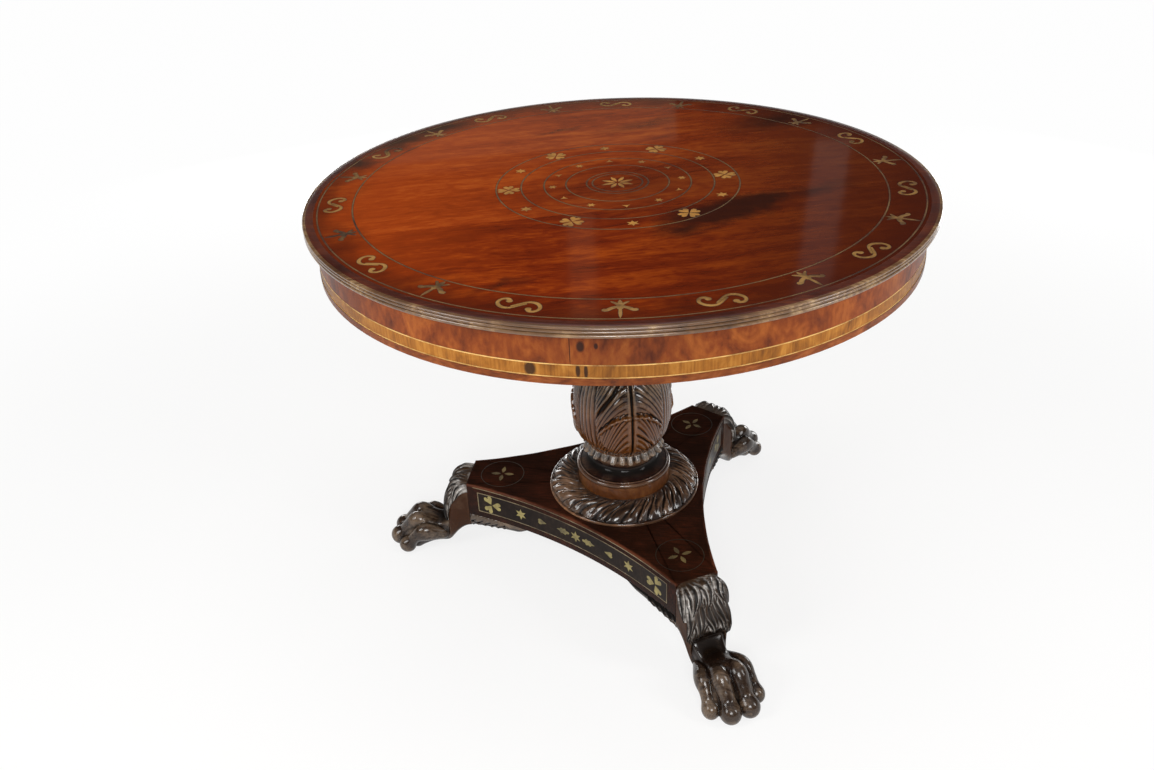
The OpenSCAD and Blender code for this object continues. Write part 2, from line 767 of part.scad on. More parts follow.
// A patch on the hollow side facing direction a, between two depths below its face
module side_patch(a, half, z, h, d0, d1) {
    intersection() {
        difference() {
            side_cylinder(a, side_arc_r + d1, z, h);
            side_cylinder(a, side_arc_r + d0, z - 1, h + 2);
        }
        rotate([0, 0, a]) translate([side_near - 30, -half, z]) cube([90, 2 * half, h]);
    }
}

// Puts a flat figure on the hollow side facing direction a, at distance t along it
module on_side(a, t) {
    turn = asin(t / side_arc_r);
    rotate([0, 0, a]) translate([arc_off, 0, panel_z + panel_h / 2]) rotate([0, 0, -turn])
        translate([-side_arc_r - inlay_t, 0, 0]) rotate([90, 0, 90])
            linear_extrude(height = inlay_t + 4) children();
}

star_at = 121;
drop_at = 76;
leaf_at = 28;
trefoil_at = 183;
module side_figures(a) {
    on_side(a, 0) star_shape(6, 12, 5.6);
    for (s = [-1, 1]) {
        on_side(a, s * leaf_at) rotate(-s * 90) leaf_shape();
        on_side(a, s * drop_at) rotate(s * 90) drop_shape();
        on_side(a, s * star_at) star_shape(6, 12, 5.6);
        on_side(a, s * trefoil_at) rotate(s * 90) trefoil_shape();
    }
}

module panel(a) {
    difference() {
        side_patch(a, panel_half - line_w, panel_z + line_w, panel_h - 2 * line_w, 0, panel_t);
        intersection() {
            side_figures(a);
            side_cylinder(a, side_arc_r + inlay_t, panel_z, panel_h);
        }
    }
}
module panel_right() { color("dimgray") panel(side_angles[0]); }
module panel_back() { color("dimgray") panel(side_angles[1]); }
module panel_front() { color("dimgray") panel(side_angles[2]); }

module panel_line_frame(a) {
    difference() {
        side_patch(a, panel_half, panel_z, panel_h, 0, panel_t);
        rotate([0, 0, a]) translate([side_near - 60, -panel_half + line_w, panel_z + line_w])
            cube([150, 2 * (panel_half - line_w), panel_h - 2 * line_w]);
    }
}

rim_line_half = panel_half + 8;
module rim_line(a) {
    side_patch(a, rim_line_half, rim_line_z, line_w, 0, inlay_t);
}

module panel_lines() {
    color("gold") for (a = side_angles) {
        panel_line_frame(a);
        rim_line(a);
    }
}

module panel_inlay() {
    color("gold") for (a = side_angles) intersection() {
        side_figures(a);
        side_patch(a, panel_half, panel_z, panel_h, 0, inlay_t);
    }
}

module corner_ring_set() {
    for (a = leg_angles) rotate([0, 0, a]) translate([medal_pos, 0, 0]) line_ring(medal_r, platform_top);
}

module corner_petal_set() {
    for (a = leg_angles, b = [0:90:270]) rotate([0, 0, a]) translate([medal_pos, 0, 0])
        let_in(0, b, platform_top) petal_shape(3, 22, 8);
}

dowel_in = 28;
dowel_out = 20;
dowel_drop = 20;        // depth of the upper dowel below the platform's upper face
dowel_gap = 30;
dowel_zs = [platform_top - dowel_drop, platform_top - dowel_drop - dowel_gap];
module dowel_set(room) {
    for (a = leg_angles, z = dowel_zs) rotate([0, 0, a])
        translate([corner_r - dowel_in - room, 0, z]) rotate([0, 90, 0])
            cylinder(r = dowel_r + room, h = dowel_in + dowel_out + 2 * room, $fn = 32);
}

module platform() {
    color("maroon") difference() {
        platform_body(0);
        for (a = side_angles) {
            side_patch(a, panel_half, panel_z, panel_h, -1, panel_t);
            side_patch(a, rim_line_half, rim_line_z, line_w, -1, inlay_t);
        }
        corner_ring_set();
        corner_petal_set();
        translate([0, 0, platform_z - 1]) cylinder(r = tenon_r + glue, h = platform_t + 2);
        dowel_set(glue);
    }
}

module corner_rings() { color("darkkhaki") corner_ring_set(); }
module corner_petals() { color("darkkhaki") corner_petal_set(); }
module leg_dowels() { color("tan") dowel_set(0); }

// Legs

// Outer and inner edge of a leg seen from the side, as shares of its reach and of the platform's height
leg_outer = [[0, 1], [0.108, 0.979], [0.193, 0.9], [0.247, 0.782], [0.268, 0.645], [0.271, 0.545],
    [0.236, 0.485], [0.319, 0.43], [0.434, 0.4], [0.548, 0.418], [0.645, 0.442], [0.753, 0.406],
    [0.849, 0.316], [0.928, 0.215], [0.982, 0.113], [0.994, 0.03]];
leg_inner = [[0, 0.37], [0.054, 0.358], [0.114, 0.322], [0.175, 0.263], [0.223, 0.203], [0.265, 0.149],
    [0.307, 0.113], [0.355, 0.096], [0.428, 0.084], [0.506, 0.072], [0.584, 0.042], [0.663, 0],
    [0.747, 0], [0.825, 0], [0.898, 0], [0.952, 0]];
// Half width along the leg: the knee as a share of leg_half, the paw as a share of paw_half
knee_width = [1, 1, 0.985, 0.96, 0.92, 0.87, 0.79, 0.72];
paw_width = [0.52, 0.6, 0.72, 0.84, 0.94, 1, 0.99, 0.84];
leg_width = concat(knee_width * leg_half, paw_width * paw_half);
knee_stations = 8;
lock_depth = 2.2;       // furrows between the locks of fur on the knee
ankle_depth = 5;        // hollow between the ankle's two ridges
toe_tip_depth = 6;      // notches between the tips of the toes
outer_toe_back = 16;    // how far the outer toes stand behind the inner ones
leg_last = len(leg_outer) - 1;

function leg_point(s, v) =
    let (
        a = smooth_at(leg_outer, s),
        b = smooth_at(leg_inner, s),
        paw = rise(s, knee_stations, knee_stations + 3),
        round_top = 0.3 + 0.2 * rise(s, 0, 2) + 0.42 * rise(s, 5, 9),
        across = signed_power(cos(v), sin(v) > 0 ? round_top : 0.4),
        up = signed_power(sin(v), sin(v) > 0 ? round_top : 0.4),
        upper = max(0, up),
        toe = abs(sin(180 * across / 0.48)),
        locks = (1 - rise(s, 4.6, 5.2)) * rise(s, 0.2, 1),
        fur = lock_depth * locks * upper * (abs(sin(180 * (across * 2.5 + 0.3 * s))) - 0.5),
        hollow = ankle_depth * rise(s, 5.5, 6.2) * (1 - rise(s, 7.6, 9)) * upper * (1 - across * across),
        furrow = toe_depth * paw * upper * (1 - toe),
        tip = rise(s, 11, 15),
        mid = (a + b) / 2,
        arm = (a - b) / 2,
        lift = up + (fur - hollow - furrow) / (norm([arm[0] * leg_reach, arm[1] * platform_top])),
        place = mid + arm * lift,
        back = tip * (outer_toe_back * across * across + toe_tip_depth * (1 - toe) * upper)
    )
    [
        corner_r + max(0, place[0] * leg_reach - back),
        across * smooth_at(leg_width, s),
        max(0, place[1] * platform_top)
    ];

module leg(a) {
    per_span = 2;
    rows = leg_last * per_span + 1;
    cols = 32;
    pts = [for (i = [0:rows - 1], j = [0:cols - 1]) leg_point(i / per_span, (j + 0.5) * 360 / cols)];
    rotate([0, 0, a]) difference() {
        polyhedron(points = pts, faces = tube_faces(rows, cols), convexity = 6);
        for (z = dowel_zs) translate([corner_r - 1, 0, z]) rotate([0, 90, 0])
            cylinder(r = dowel_r + glue, h = dowel_out + 1 + glue, $fn = 32);
    }
}
module leg_left() { color("saddlebrown") leg(leg_angles[0]); }
module leg_front() { color("saddlebrown") leg(leg_angles[1]); }
module leg_back() { color("saddlebrown") leg(leg_angles[2]); }

// Leaf bracket: runs along the hollow side under the platform and dies out towards the middle
bracket_end = corner_r * cos(30) - leg_half / 2;
// Share of the bracket's full depth at place t, from 0 at its tip to 1 at the leg
function bracket_depth(t) = (0.45 + 0.55 * t) * sin(90 * min(1, t / 0.25));
module leaf_bracket(a, s) {
    start = bracket_end - bracket_l;
    intersection() {
        difference() {
            side_cylinder(a, side_arc_r + bracket_t, platform_z - bracket_h - 1, bracket_h + 1);
            side_cylinder(a, side_arc_r + 1, platform_z - bracket_h - 2, bracket_h + 3);
        }
        rotate([0, 0, a]) translate([side_near - 30, 0, platform_z]) rotate([90, 0, 90])
            linear_extrude(height = 160) polygon([for (q = concat(
                [[start, 0], [start, -slope_end]],
                [for (t = [0.125:0.125:0.875])
                    [start + bracket_l * t, -slope_end - (bracket_h - slope_end) * bracket_depth(t)]],
                [[bracket_end + 60, -bracket_h], [bracket_end + 60, 0]])) [s * q[0], q[1]]]);
        rotate([0, 0, a + s * 60]) translate([0, -s * 100 - 100, platform_z - bracket_h - 1])
            cube([corner_r, 200, bracket_h + 2]);
    }
}

module leaf_brackets() {
    color("saddlebrown") for (a = side_angles, s = [-1, 1]) leaf_bracket(a, s);
}

top_board();
veneer_front();
veneer_back();
edge_moulding();
border_lines();
border_scrolls();
border_fleurs();
medallion_lines();
medallion_rosettes();
medallion_stars();
medallion_trefoils();
centre_flower();
apron_hoop();
frieze_veneer();
frieze_crossband();
frieze_low_band();
frieze_lines();
glue_blocks();
bearer_left();
bearer_right();
bearer_screws();
tilt_block();
pivot_pins();
block_wedge();
catch_plate();
catch_bolt();
catch_keeper();
stem_neck();
vase();
leaf_collar();
stem_foot();
foot_wedge();
drum();
gadroon_ring();
platform();
panel_front();
panel_back();
panel_right();
panel_lines();
panel_inlay();
corner_rings();
corner_petals();
leg_left();
leg_front();
leg_back();
leg_dowels();
leaf_brackets();
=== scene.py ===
import math

import bmesh
import bpy
import numpy as np
from mathutils import Matrix, Vector


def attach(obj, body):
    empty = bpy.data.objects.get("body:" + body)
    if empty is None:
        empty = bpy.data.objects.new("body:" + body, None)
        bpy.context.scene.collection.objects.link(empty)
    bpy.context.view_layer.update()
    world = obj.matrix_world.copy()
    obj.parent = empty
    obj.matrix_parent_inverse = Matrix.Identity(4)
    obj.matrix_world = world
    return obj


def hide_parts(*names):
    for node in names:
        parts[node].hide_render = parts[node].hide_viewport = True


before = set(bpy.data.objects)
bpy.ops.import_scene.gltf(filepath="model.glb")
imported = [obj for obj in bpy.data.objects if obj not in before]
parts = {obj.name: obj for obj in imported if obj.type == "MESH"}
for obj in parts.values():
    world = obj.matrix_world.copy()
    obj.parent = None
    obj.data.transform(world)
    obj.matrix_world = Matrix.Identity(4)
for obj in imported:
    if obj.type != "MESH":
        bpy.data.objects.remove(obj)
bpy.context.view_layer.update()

# Camera: stands in front of the table, half a metre above its top, and looks 31 degrees down.
# Its lens counts as 31.5 mm on a full frame, and it leans a little to one side.
def put(name, data):
    """Adds an object to the scene"""
    made = bpy.data.objects.new(name, data)
    bpy.context.scene.collection.objects.link(made)
    return made

camera_turn, camera_pan, camera_tilt, camera_lean = (
    math.radians(a) for a in (6.83, -2.9708, 31.1104, -2.7974))
camera_place, sensor_wide, photo_wide, focal_pixels = (0, -1.50357, 1.28311), 36, 1154, 1010.33
look = Vector((math.sin(camera_pan) * math.cos(camera_tilt),
               math.cos(camera_pan) * math.cos(camera_tilt), -math.sin(camera_tilt)))
level = Vector((math.cos(camera_pan), -math.sin(camera_pan), 0))
upright = level.cross(look)
camera_right = math.cos(camera_lean) * level + math.sin(camera_lean) * upright
camera_up = -math.sin(camera_lean) * level + math.cos(camera_lean) * upright
camera_data = bpy.data.cameras.new("camera")
camera_data.sensor_width = sensor_wide
camera_data.lens = sensor_wide * focal_pixels / photo_wide
camera_data.clip_end = 60
camera = put("camera", camera_data)
camera.matrix_world = (
    Matrix.Rotation(camera_turn, 4, "Z") @ Matrix.Translation(camera_place)
    @ Matrix((camera_right, camera_up, -look)).transposed().to_4x4())
bpy.context.scene.camera = camera
bpy.context.scene.view_settings.view_transform = "Standard"

# Studio: a white painted floor that runs out of sight, and white walls so far off that they only
# light the room. Far from the table the floor is drawn as bright as the paper behind a cut-out.
def linear(hex_colour):
    """Turns an sRGB hex colour into the linear colour that a shader takes"""
    shares = [int(hex_colour[i:i + 2], 16) / 255 for i in (1, 3, 5)]
    return [c / 12.92 if c < 0.04045 else ((c + 0.055) / 1.055) ** 2.4 for c in shares] + [1]

def add(owner, kind, inputs={}, stops=None, **settings):
    """Adds a node. inputs holds values, other nodes or their outputs by socket; stops are a ramp's. A Mix
    node mixes numbers unless its data_type says RGBA"""
    made = owner.node_tree.nodes.new("ShaderNode" + kind)
    for key, value in settings.items():
        setattr(made, key, value)
    for key, value in inputs.items():
        if isinstance(value, bpy.types.Node):
            value = value.outputs[0]
        if isinstance(value, bpy.types.NodeSocket):
            owner.node_tree.links.new(value, made.inputs[key])
        elif isinstance(value, str):
            made.inputs[key].default_value = linear(value)
        else:
            made.inputs[key].default_value = value
    if stops:
        while len(made.color_ramp.elements) < len(stops):
            made.color_ramp.elements.new(0.5)
        for element, (place, colour) in zip(made.color_ramp.elements, stops):
            element.position = place
            element.color = linear(colour) if isinstance(colour, str) else (colour, colour, colour, 1)
    return made

def new_finish(name):
    """An empty material, for its own nodes"""
    made = bpy.data.materials.new(name)
    made.use_nodes = True
    made.node_tree.nodes.clear()
    return made

floor_half = 14
floor_mesh = bpy.data.meshes.new("floor")
floor_mesh.from_pydata([(-floor_half, -floor_half, 0), (floor_half, -floor_half, 0),
                        (floor_half, floor_half, 0), (-floor_half, floor_half, 0)], [], [(0, 1, 2, 3)])
floor = put("floor", floor_mesh)
# matt emulsion: an even white that takes soft shadows near the table and fades into the paper behind
paint = new_finish("white_floor_paint")
away = add(paint, "VectorMath", {0: add(paint, "NewGeometry")}, operation="LENGTH").outputs["Value"]
bare = add(paint, "MapRange", {"Value": away, "From Min": 0.7, "From Max": 2.6,
                               "To Min": 0.78, "To Max": 0.985}, interpolation_type="SMOOTHSTEP")
rays = add(paint, "LightPath").outputs
seen = add(paint, "Math", {0: rays["Is Camera Ray"], 1: rays["Is Glossy Ray"]}, operation="ADD")
seen = add(paint, "Math", {0: seen, 1: rays["Is Transmission Ray"]}, operation="ADD", use_clamp=True)
share = add(paint, "Math", {0: bare, 1: seen}, operation="MULTIPLY")
painted = add(paint, "BsdfDiffuse", {"Color": "#efeeec"})
paper = add(paint, "Emission", {"Color": "#ffffff", "Strength": 1.0})
add(paint, "OutputMaterial", {"Surface": add(paint, "MixShader", {0: share, 1: painted, 2: paper})})
floor_mesh.materials.append(paint)

room = bpy.data.worlds.new("studio_walls")
room.use_nodes = True
room.node_tree.nodes.clear()
height = add(room, "SeparateXYZ", {0: add(room, "TexCoord")}).outputs["Z"]
glow = add(room, "MapRange", {"Value": height, "From Min": 0.5, "From Max": 0.9,
                              "To Min": 0.03, "To Max": 0.5}, interpolation_type="SMOOTHSTEP")
# the camera sees the walls white; mirrors see them white up to head height, with a dark room above
rays = add(room, "LightPath").outputs
walls = add(room, "MapRange", {"Value": height, "From Min": 0.1, "From Max": 0.18,
                               "To Min": 1.0, "To Max": 0.0})
seen = add(room, "Math", {0: rays["Is Glossy Ray"], 1: rays["Is Transmission Ray"]}, operation="ADD")
seen = add(room, "Math", {0: seen, 1: walls, 2: rays["Is Camera Ray"]}, operation="MULTIPLY_ADD",
           use_clamp=True)
glow = add(room, "Mix", {0: seen, 2: glow, 3: 1.0})
add(room, "OutputWorld", {"Surface": add(room, "Background", {"Color": "#fcfbf9", "Strength": glow})})
bpy.context.scene.world = room

white = (1, 1, 1)
for name, place, aim, size, watts, tint in (    # aim is a height on the table's axis that a lamp faces
        ("left", (-1.9, -1.7, 1.8), 0.35, (0.9, 1.1), 31, white),
        ("front", (0.5, -2.6, 1.9), 0.35, (1.0, 1.0), 42, white),
        ("right", (2.3, -0.7, 1.6), 0.35, (0.5, 1.1), 20, white),
        ("above", (0.0, 0.2, 3.2), 0.4, (1.6, 1.6), 20, white),
        # two low ones fill the shadows behind
        ("back_left", (-1.7, 2.4, 0.4), 0.4, (1.0, 0.5), 17, white),
        ("back_right", (1.7, 2.4, 0.4), 0.4, (1.0, 0.5), 17, white),
        # a small bright one by the camera gives each carved rise its own highlight
        ("small", (0.06, -1.8, 1.15), 0.3, (0.2, 0.24), 5.5, white),
        # dim ones behind the table that only show in the polish of its top, two streaks and a haze
        ("streak_1", (-0.46, 2.5, 2.1), 0.74, (0.12, 0.6), 0.055, (1, 0.55, 0.3)),
        ("streak_2", (0.54, 2.5, 1.85), 0.74, (0.14, 0.75), 0.045, white),
        ("haze", (-0.8, 2.6, 1.4), 0.74, (1.5, 0.34), 0.22, (1, 0.9, 0.65))):
    lamp = bpy.data.lights.new("softbox_" + name, "AREA")
    lamp.shape, lamp.energy, lamp.color = "RECTANGLE", watts, tint
    lamp.size, lamp.size_y = size
    box = put("softbox_" + name, lamp)
    box.location = place
    box.rotation_euler = (Vector((0, 0, aim)) - Vector(place)).to_track_quat("-Z", "Y").to_euler()

# Platform: a three-cornered slab of mahogany over a softwood core, with hollow sides and cut corners.
# It is stained nearly black; the arris along each side is rubbed back to the red wood.
side_centre, side_radius = 1.004, 0.858    # metres: each hollow side is an arc round a point outside it

def dark_mahogany(name, darkest, body, wear_and_sheen_tint, polish, figure=1.0, shine=0.35, haze=0.2,
                  arris=None, warm=None):
    """Old mahogany, stained dark and French polished: the grain shows as fine red lines, cuts are painted
    black as shade and grime and stay dull, and what stands proud is painted pale, as rubbing and on some
    carvings as highlight. polish is how much film is left, haze how blurred its reflections are, and shine
    the gloss of the wood. arris colours an edge bared of its stain, warm a warmer low end"""
    made = new_finish(name)
    where = add(made, "TexCoord").outputs["Object"]
    # growth lines 3 mm apart, and clouds of 70 mm between darker and lighter wood
    along = add(made, "Mapping", {"Vector": where, "Scale": (30, 330, 90)})
    lines = add(made, "TexNoise", {"Vector": along, "Scale": 1.0, "Detail": 4.0, "Roughness": 0.6})
    cloud = add(made, "TexNoise", {"Vector": where, "Scale": 14.0, "Detail": 5.0, "Roughness": 0.62,
                                   "Distortion": 0.4})
    tone = add(made, "Mix", {0: 0.45 * figure, 2: cloud, 3: lines})
    colour = add(made, "ValToRGB", {"Fac": tone}, stops=[(0.3, darkest), (0.5, body), (0.72, wear_and_sheen_tint)])
    # relief is how many millimetres a point stands above or below the carving round it
    relief = add(made, "Attribute", attribute_name="relief").outputs["Fac"]
    sunk = add(made, "MapRange", {"Value": relief, "From Min": -0.7, "From Max": 0.05,
                                  "To Min": 1.0, "To Max": 0.0})
    proud = add(made, "MapRange", {"Value": relief, "From Min": 0.12, "From Max": 0.8, "To Max": 0.75})
    wear_and_sheen = add(made, "Math", {0: proud, 1: cloud}, operation="MULTIPLY")
    # cuts are painted nearly black as shade and dirt; what stands proud is painted pale, as rubbing and on
    # some carvings as highlight
    layers = [(sunk, "#0a0604"), (wear_and_sheen, wear_and_sheen_tint)]
    if warm:    # warmer and lighter below 0.35 to 0.4 m from the floor
        level = add(made, "SeparateXYZ", {0: where}).outputs["Z"]
        level = add(made, "Math", {0: cloud, 1: -0.09, 2: level}, operation="MULTIPLY_ADD")
        level = add(made, "MapRange", {"Value": level, "From Min": 0.3, "From Max": 0.35,
                                       "To Min": 0.75, "To Max": 0.0})
        clear = add(made, "Math", {0: 1.0, 1: sunk}, operation="SUBTRACT")
        layers.append((add(made, "Math", {0: level, 1: clear}, operation="MULTIPLY"), warm))
    if arris:   # rubbed in patches along the top edge of the three hollow sides, 4 to 5 mm wide
        flat = add(made, "VectorMath", {0: where, 1: (1, 1, 0)}, operation="MULTIPLY")
        from_edge = None
        for turn in np.radians([0, 120, 240]):
            middle = (side_centre * math.cos(turn), side_centre * math.sin(turn), 0)
            away = add(made, "VectorMath", {0: flat, 1: middle}, operation="DISTANCE").outputs["Value"]
            from_edge = away if from_edge is None else add(
                made, "Math", {0: from_edge, 1: away}, operation="MINIMUM")
        uneven = add(made, "Math", {0: cloud, 1: 0.012, 2: side_radius - 0.004}, operation="MULTIPLY_ADD")
        near = add(made, "Math", {0: from_edge, 1: uneven}, operation="SUBTRACT")
        near = add(made, "MapRange", {"Value": near, "From Min": -0.001, "From Max": 0.003,
                                      "To Min": 1.0, "To Max": 0.0})
        high = add(made, "MapRange", {"Value": add(made, "SeparateXYZ", {0: where}).outputs["Z"],
                                      "From Min": 0.161, "From Max": 0.165})
        patchy = add(made, "MapRange", {
            "Value": add(made, "TexNoise", {"Vector": where, "Scale": 9.0, "Detail": 3.0}),
            "From Min": 0.38, "From Max": 0.6, "To Min": 0.1, "To Max": 0.6})
        for share in (high, patchy):
            near = add(made, "Math", {0: near, 1: share}, operation="MULTIPLY")
        layers.append((near, arris))
    # the side faces of a leg were only planed, and stay a plain brown
    planed = add(made, "Attribute", attribute_name="planed").outputs["Fac"]
    for share, tint in layers + [(planed, "#3d2211")]:
        colour = add(made, "Mix", {0: share, 6: colour, 7: tint}, data_type="RGBA").outputs[2]
    dust = add(made, "MapRange", {"Value": cloud, "From Min": 0.35, "From Max": 0.7,
                                  "To Min": 0.3, "To Max": 0.5})
    rough = add(made, "Math", {0: sunk, 1: 0.35, 2: dust}, operation="MULTIPLY_ADD")
    # no polish reaches the bottoms of the carving or the planed faces
    coat = add(made, "Math", {0: sunk, 1: -0.85 * polish, 2: polish}, operation="MULTIPLY_ADD")
    kept = add(made, "Math", {0: planed, 1: -0.9, 2: 1.0}, operation="MULTIPLY_ADD")
    coat = add(made, "Math", {0: coat, 1: kept}, operation="MULTIPLY")
    add(made, "OutputMaterial", {"Surface": add(made, "BsdfPrincipled", {
        "Base Color": colour, "Roughness": rough, "IOR": 1.5, "Specular IOR Level": shine,
        "Normal": add(made, "Bump", {"Height": lines, "Strength": 0.25, "Distance": 0.0002}),
        "Coat Weight": coat, "Coat Roughness": haze})})
    return made

# stained and barely polished: nearly black, and it takes in the light instead of mirroring the room
platform_finish = dark_mahogany("stained_mahogany", "#150906", "#28140c", "#472114", 0.18, shine=0.0,
                                arris="#74402a")
# carved and waxed: cuts painted black brown as shade and dirt, and where it stands proud a greyed brown,
# partly rubbing and partly painted sheen, with a sharp gloss
carving_finish = dark_mahogany("carved_mahogany", "#0f0906", "#251811", "#85705c", 0.9, figure=0.5,
                               shine=0.0)

def dress(finish, *names):
    """Gives CAD nodes their finish"""
    for name in names:
        parts[name].data.materials.clear()
        parts[name].data.materials.append(finish)

def smooth_at(points, at):
    """Places on a smooth curve through the points of a list, at from 0 to the last index"""
    points, at = np.array(points, float), np.clip(at, 0, len(points) - 1)
    i = np.minimum(np.floor(at).astype(int), len(points) - 2)
    t = at - i
    if points.ndim > 1:
        t = t[..., None]
    before, start = points[np.maximum(i - 1, 0)], points[i]
    end, after = points[i + 1], points[np.minimum(i + 2, len(points) - 1)]
    return start + 0.5 * t * (end - before + t * (
        2 * before - 5 * start + 4 * end - after + t * (3 * (start - end) + after - before)))

def rise(value, low, high):
    """Smooth step from 0 at low to 1 at high"""
    t = np.clip((value - low) / (high - low), 0, 1)
    return t * t * (3 - 2 * t)

def new_piece(name, mesh, finish, body, *nodes):
    """A piece that rides on a body and stands for CAD nodes"""
    mesh.name = name
    made = put(name, mesh)
    mesh.materials.clear()
    mesh.materials.append(finish)
    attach(made, body)
    if nodes:
        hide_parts(*nodes)

def skin(points, ring=False):
    """Mesh over a grid of points in millimetres. Each row closes on itself, and so do a ring's rows"""
    rows, cols = points.shape[:2]
    i, j = (a.ravel() for a in np.meshgrid(np.arange(rows if ring else rows - 1), np.arange(cols),
                                           indexing="ij"))
    faces = np.stack([i * cols + j, i * cols + (j + 1) % cols,
                      (i + 1) % rows * cols + (j + 1) % cols, (i + 1) % rows * cols + j], 1)
    flat = points.reshape(-1, 3)
    first, second, third = (flat[faces[:, k]] for k in range(3))
    if (np.cross(second - first, third - first) * first).sum() < 0:
        faces = faces[:, ::-1]
    faces = faces.tolist()
    if not ring:
        faces += [list(range(cols)), list(range((rows - 1) * cols, rows * cols))]
    mesh = bpy.data.meshes.new("skin")
    mesh.from_pydata(flat / 1000, [], faces)
    mesh.shade_smooth()
    return mesh

def read(items, field, size, kind=float):
    """One field of all points, normals or edges of a mesh, a row of the given size for each"""
    values = np.empty(len(items) * size, kind)
    items.foreach_get(field, values)
    return values.reshape(-1, size)

def mark(mesh, name, values):
    """Stores a value for each point, which the finish reads"""
    mesh.attributes.new(name, "FLOAT", "POINT").data.foreach_set("value", values)
    return mesh

def mark_relief(mesh, reach, share=1.0, wear_and_highlight=1.0, dirt_and_shade=0.0):
    """Marks how far each point stands above or below the surface round it, in millimetres. reach is how
    many edges away that surface is levelled and share scales the marks. The next value scales only the
    marks of what stands proud, which the finish paints pale as rubbing and highlight, and the last makes
    a point count as lower, so that the finish paints it darker as shade"""
    place, normal = read(mesh.vertices, "co", 3), read(mesh.vertex_normals, "vector", 3)
    one, other = read(mesh.edges, "vertices", 2, int).T
    near = np.maximum(np.bincount(np.append(one, other), minlength=len(place)), 1)
    even = place
    for _ in range(reach):
        even = np.stack([np.bincount(one, even[other, k], len(place))
                         + np.bincount(other, even[one, k], len(place)) for k in range(3)], 1)
        even = even / near[:, None]
    stands = ((place - even) * normal).sum(1) * 1000 * share
    return mark(mesh, "relief", np.where(stands > 0, stands * wear_and_highlight, stands) - dirt_and_shade)

corner_half, corner_far, low_z, high_z = 38, 290, 97.5, 167.5
side_back, face_back = 0.12, 0.08         # the wood stays this far behind its brass and panels
# one hollow side from cut corner to cut corner, and then three of them turned into a ring
reach_out = corner_far * math.cos(math.radians(30)) - corner_half * 0.5
lateral = np.linspace(-reach_out, reach_out, 120)
hollow = 1000 * side_centre - np.sqrt((1000 * side_radius) ** 2 - lateral ** 2) - side_back
side = np.stack([hollow, lateral], 1)
outline = np.concatenate([side @ np.array([[math.cos(a), math.sin(a)], [-math.sin(a), math.cos(a)]])
                          for a in np.radians([0, 120, 240])])
ahead = np.roll(outline, -1, 0) - np.roll(outline, 1, 0)
outward = np.stack([ahead[:, 1], -ahead[:, 0]], 1) / np.linalg.norm(ahead, axis=1)[:, None]
spot = np.arange(len(outline)) / len(outline) * 2 * np.pi
worn_by = 2.0 + 0.5 * np.sin(7 * spot) + 0.4 * np.sin(19 * spot + 1)
loops = [(outline * 0.02, low_z + 0 * spot), (outline - 1.5 * outward, low_z + 0 * spot),
         (outline - 0.4 * outward, low_z + 0.4 + 0 * spot), (outline, low_z + 1.5 + 0 * spot)]
for turn in np.radians(np.linspace(0, 90, 7)):
    loops.append((outline - (worn_by * (1 - math.cos(turn)))[:, None] * outward,
                  high_z - face_back - worn_by * (1 - math.sin(turn))))
loops += [(outline * share - 2.6 * outward, high_z - face_back + 0 * spot) for share in (0.99, 0.6, 0.02)]
platform_mesh = skin(np.stack([np.column_stack([flat, level]) for flat, level in loops]))
platform_mesh.set_sharp_from_angle(angle=0.7)
new_piece("worn_platform", platform_mesh, platform_finish, "base", "platform")

# Side panels: thin black-stained veneer let into each hollow side, in a frame of brass line.
# The stain is iron black under a thin polish: a warm black with only a faint gloss along the grain.
dress(dark_mahogany("ebonised_veneer", "#120c09", "#201713", "#362a21", 0.0, shine=0.08),
      "panel_front", "panel_back", "panel_right")

# Brass inlay of the base: sawn sheet brass and drawn line, filed flush and left to go dull.
# Old brass is a low yellow with a green cast, browner where hands and wax have reached it.
def old_brass(name, clean, dull, tarnish):
    """Sheet brass gone dull: clean metal shows in patches between brown, lightless oxide"""
    made = new_finish(name)
    where = add(made, "TexCoord").outputs["Object"]
    # tarnish lies in patches 14 mm across with specks of 1 to 2 mm, and more of it every 110 mm or so
    patches = add(made, "TexNoise", {"Vector": where, "Scale": 70.0, "Detail": 6.0, "Roughness": 0.68})
    regions = add(made, "TexNoise", {"Vector": where, "Scale": 9.0, "Detail": 2.0})
    patches = add(made, "Mix", {0: 0.58, 2: patches, 3: regions})
    colour = add(made, "ValToRGB", {"Fac": patches}, stops=[(0.38, tarnish), (0.48, dull), (0.58, clean)])
    # the brown skin of oxide on the dull parts isn't metal and scatters the light
    metal = add(made, "MapRange", {"Value": patches, "From Min": 0.4, "From Max": 0.7,
                                   "To Min": 0.25, "To Max": 0.7})
    rough = add(made, "MapRange", {"Value": patches, "From Min": 0.35, "From Max": 0.65,
                                   "To Min": 0.6, "To Max": 0.42})
    # scratches 1 mm wide, because real ones are too fine to show
    scratches = add(made, "TexNoise", {"Vector": where, "Scale": 900.0, "Detail": 2.0})
    add(made, "OutputMaterial", {"Surface": add(made, "BsdfPrincipled", {
        "Base Color": colour, "Metallic": metal, "Roughness": rough,
        "Normal": add(made, "Bump", {"Height": scratches, "Strength": 0.2, "Distance": 0.0001})})})
    return made

# figures never rubbed up: olive yellow, almost without shine
dress(old_brass("dull_green_brass", "#a4965e", "#827548", "#514830"), "panel_inlay")
# thin drawn line, browner than the figures from the wax that clings to it
dress(old_brass("dark_line_brass", "#8f8062", "#66583f", "#3b3122"), "panel_lines")
# rings gone nearly black, which only glint
dress(old_brass("blackened_ring_brass", "#40372a", "#2b241a", "#14100b"), "corner_rings")
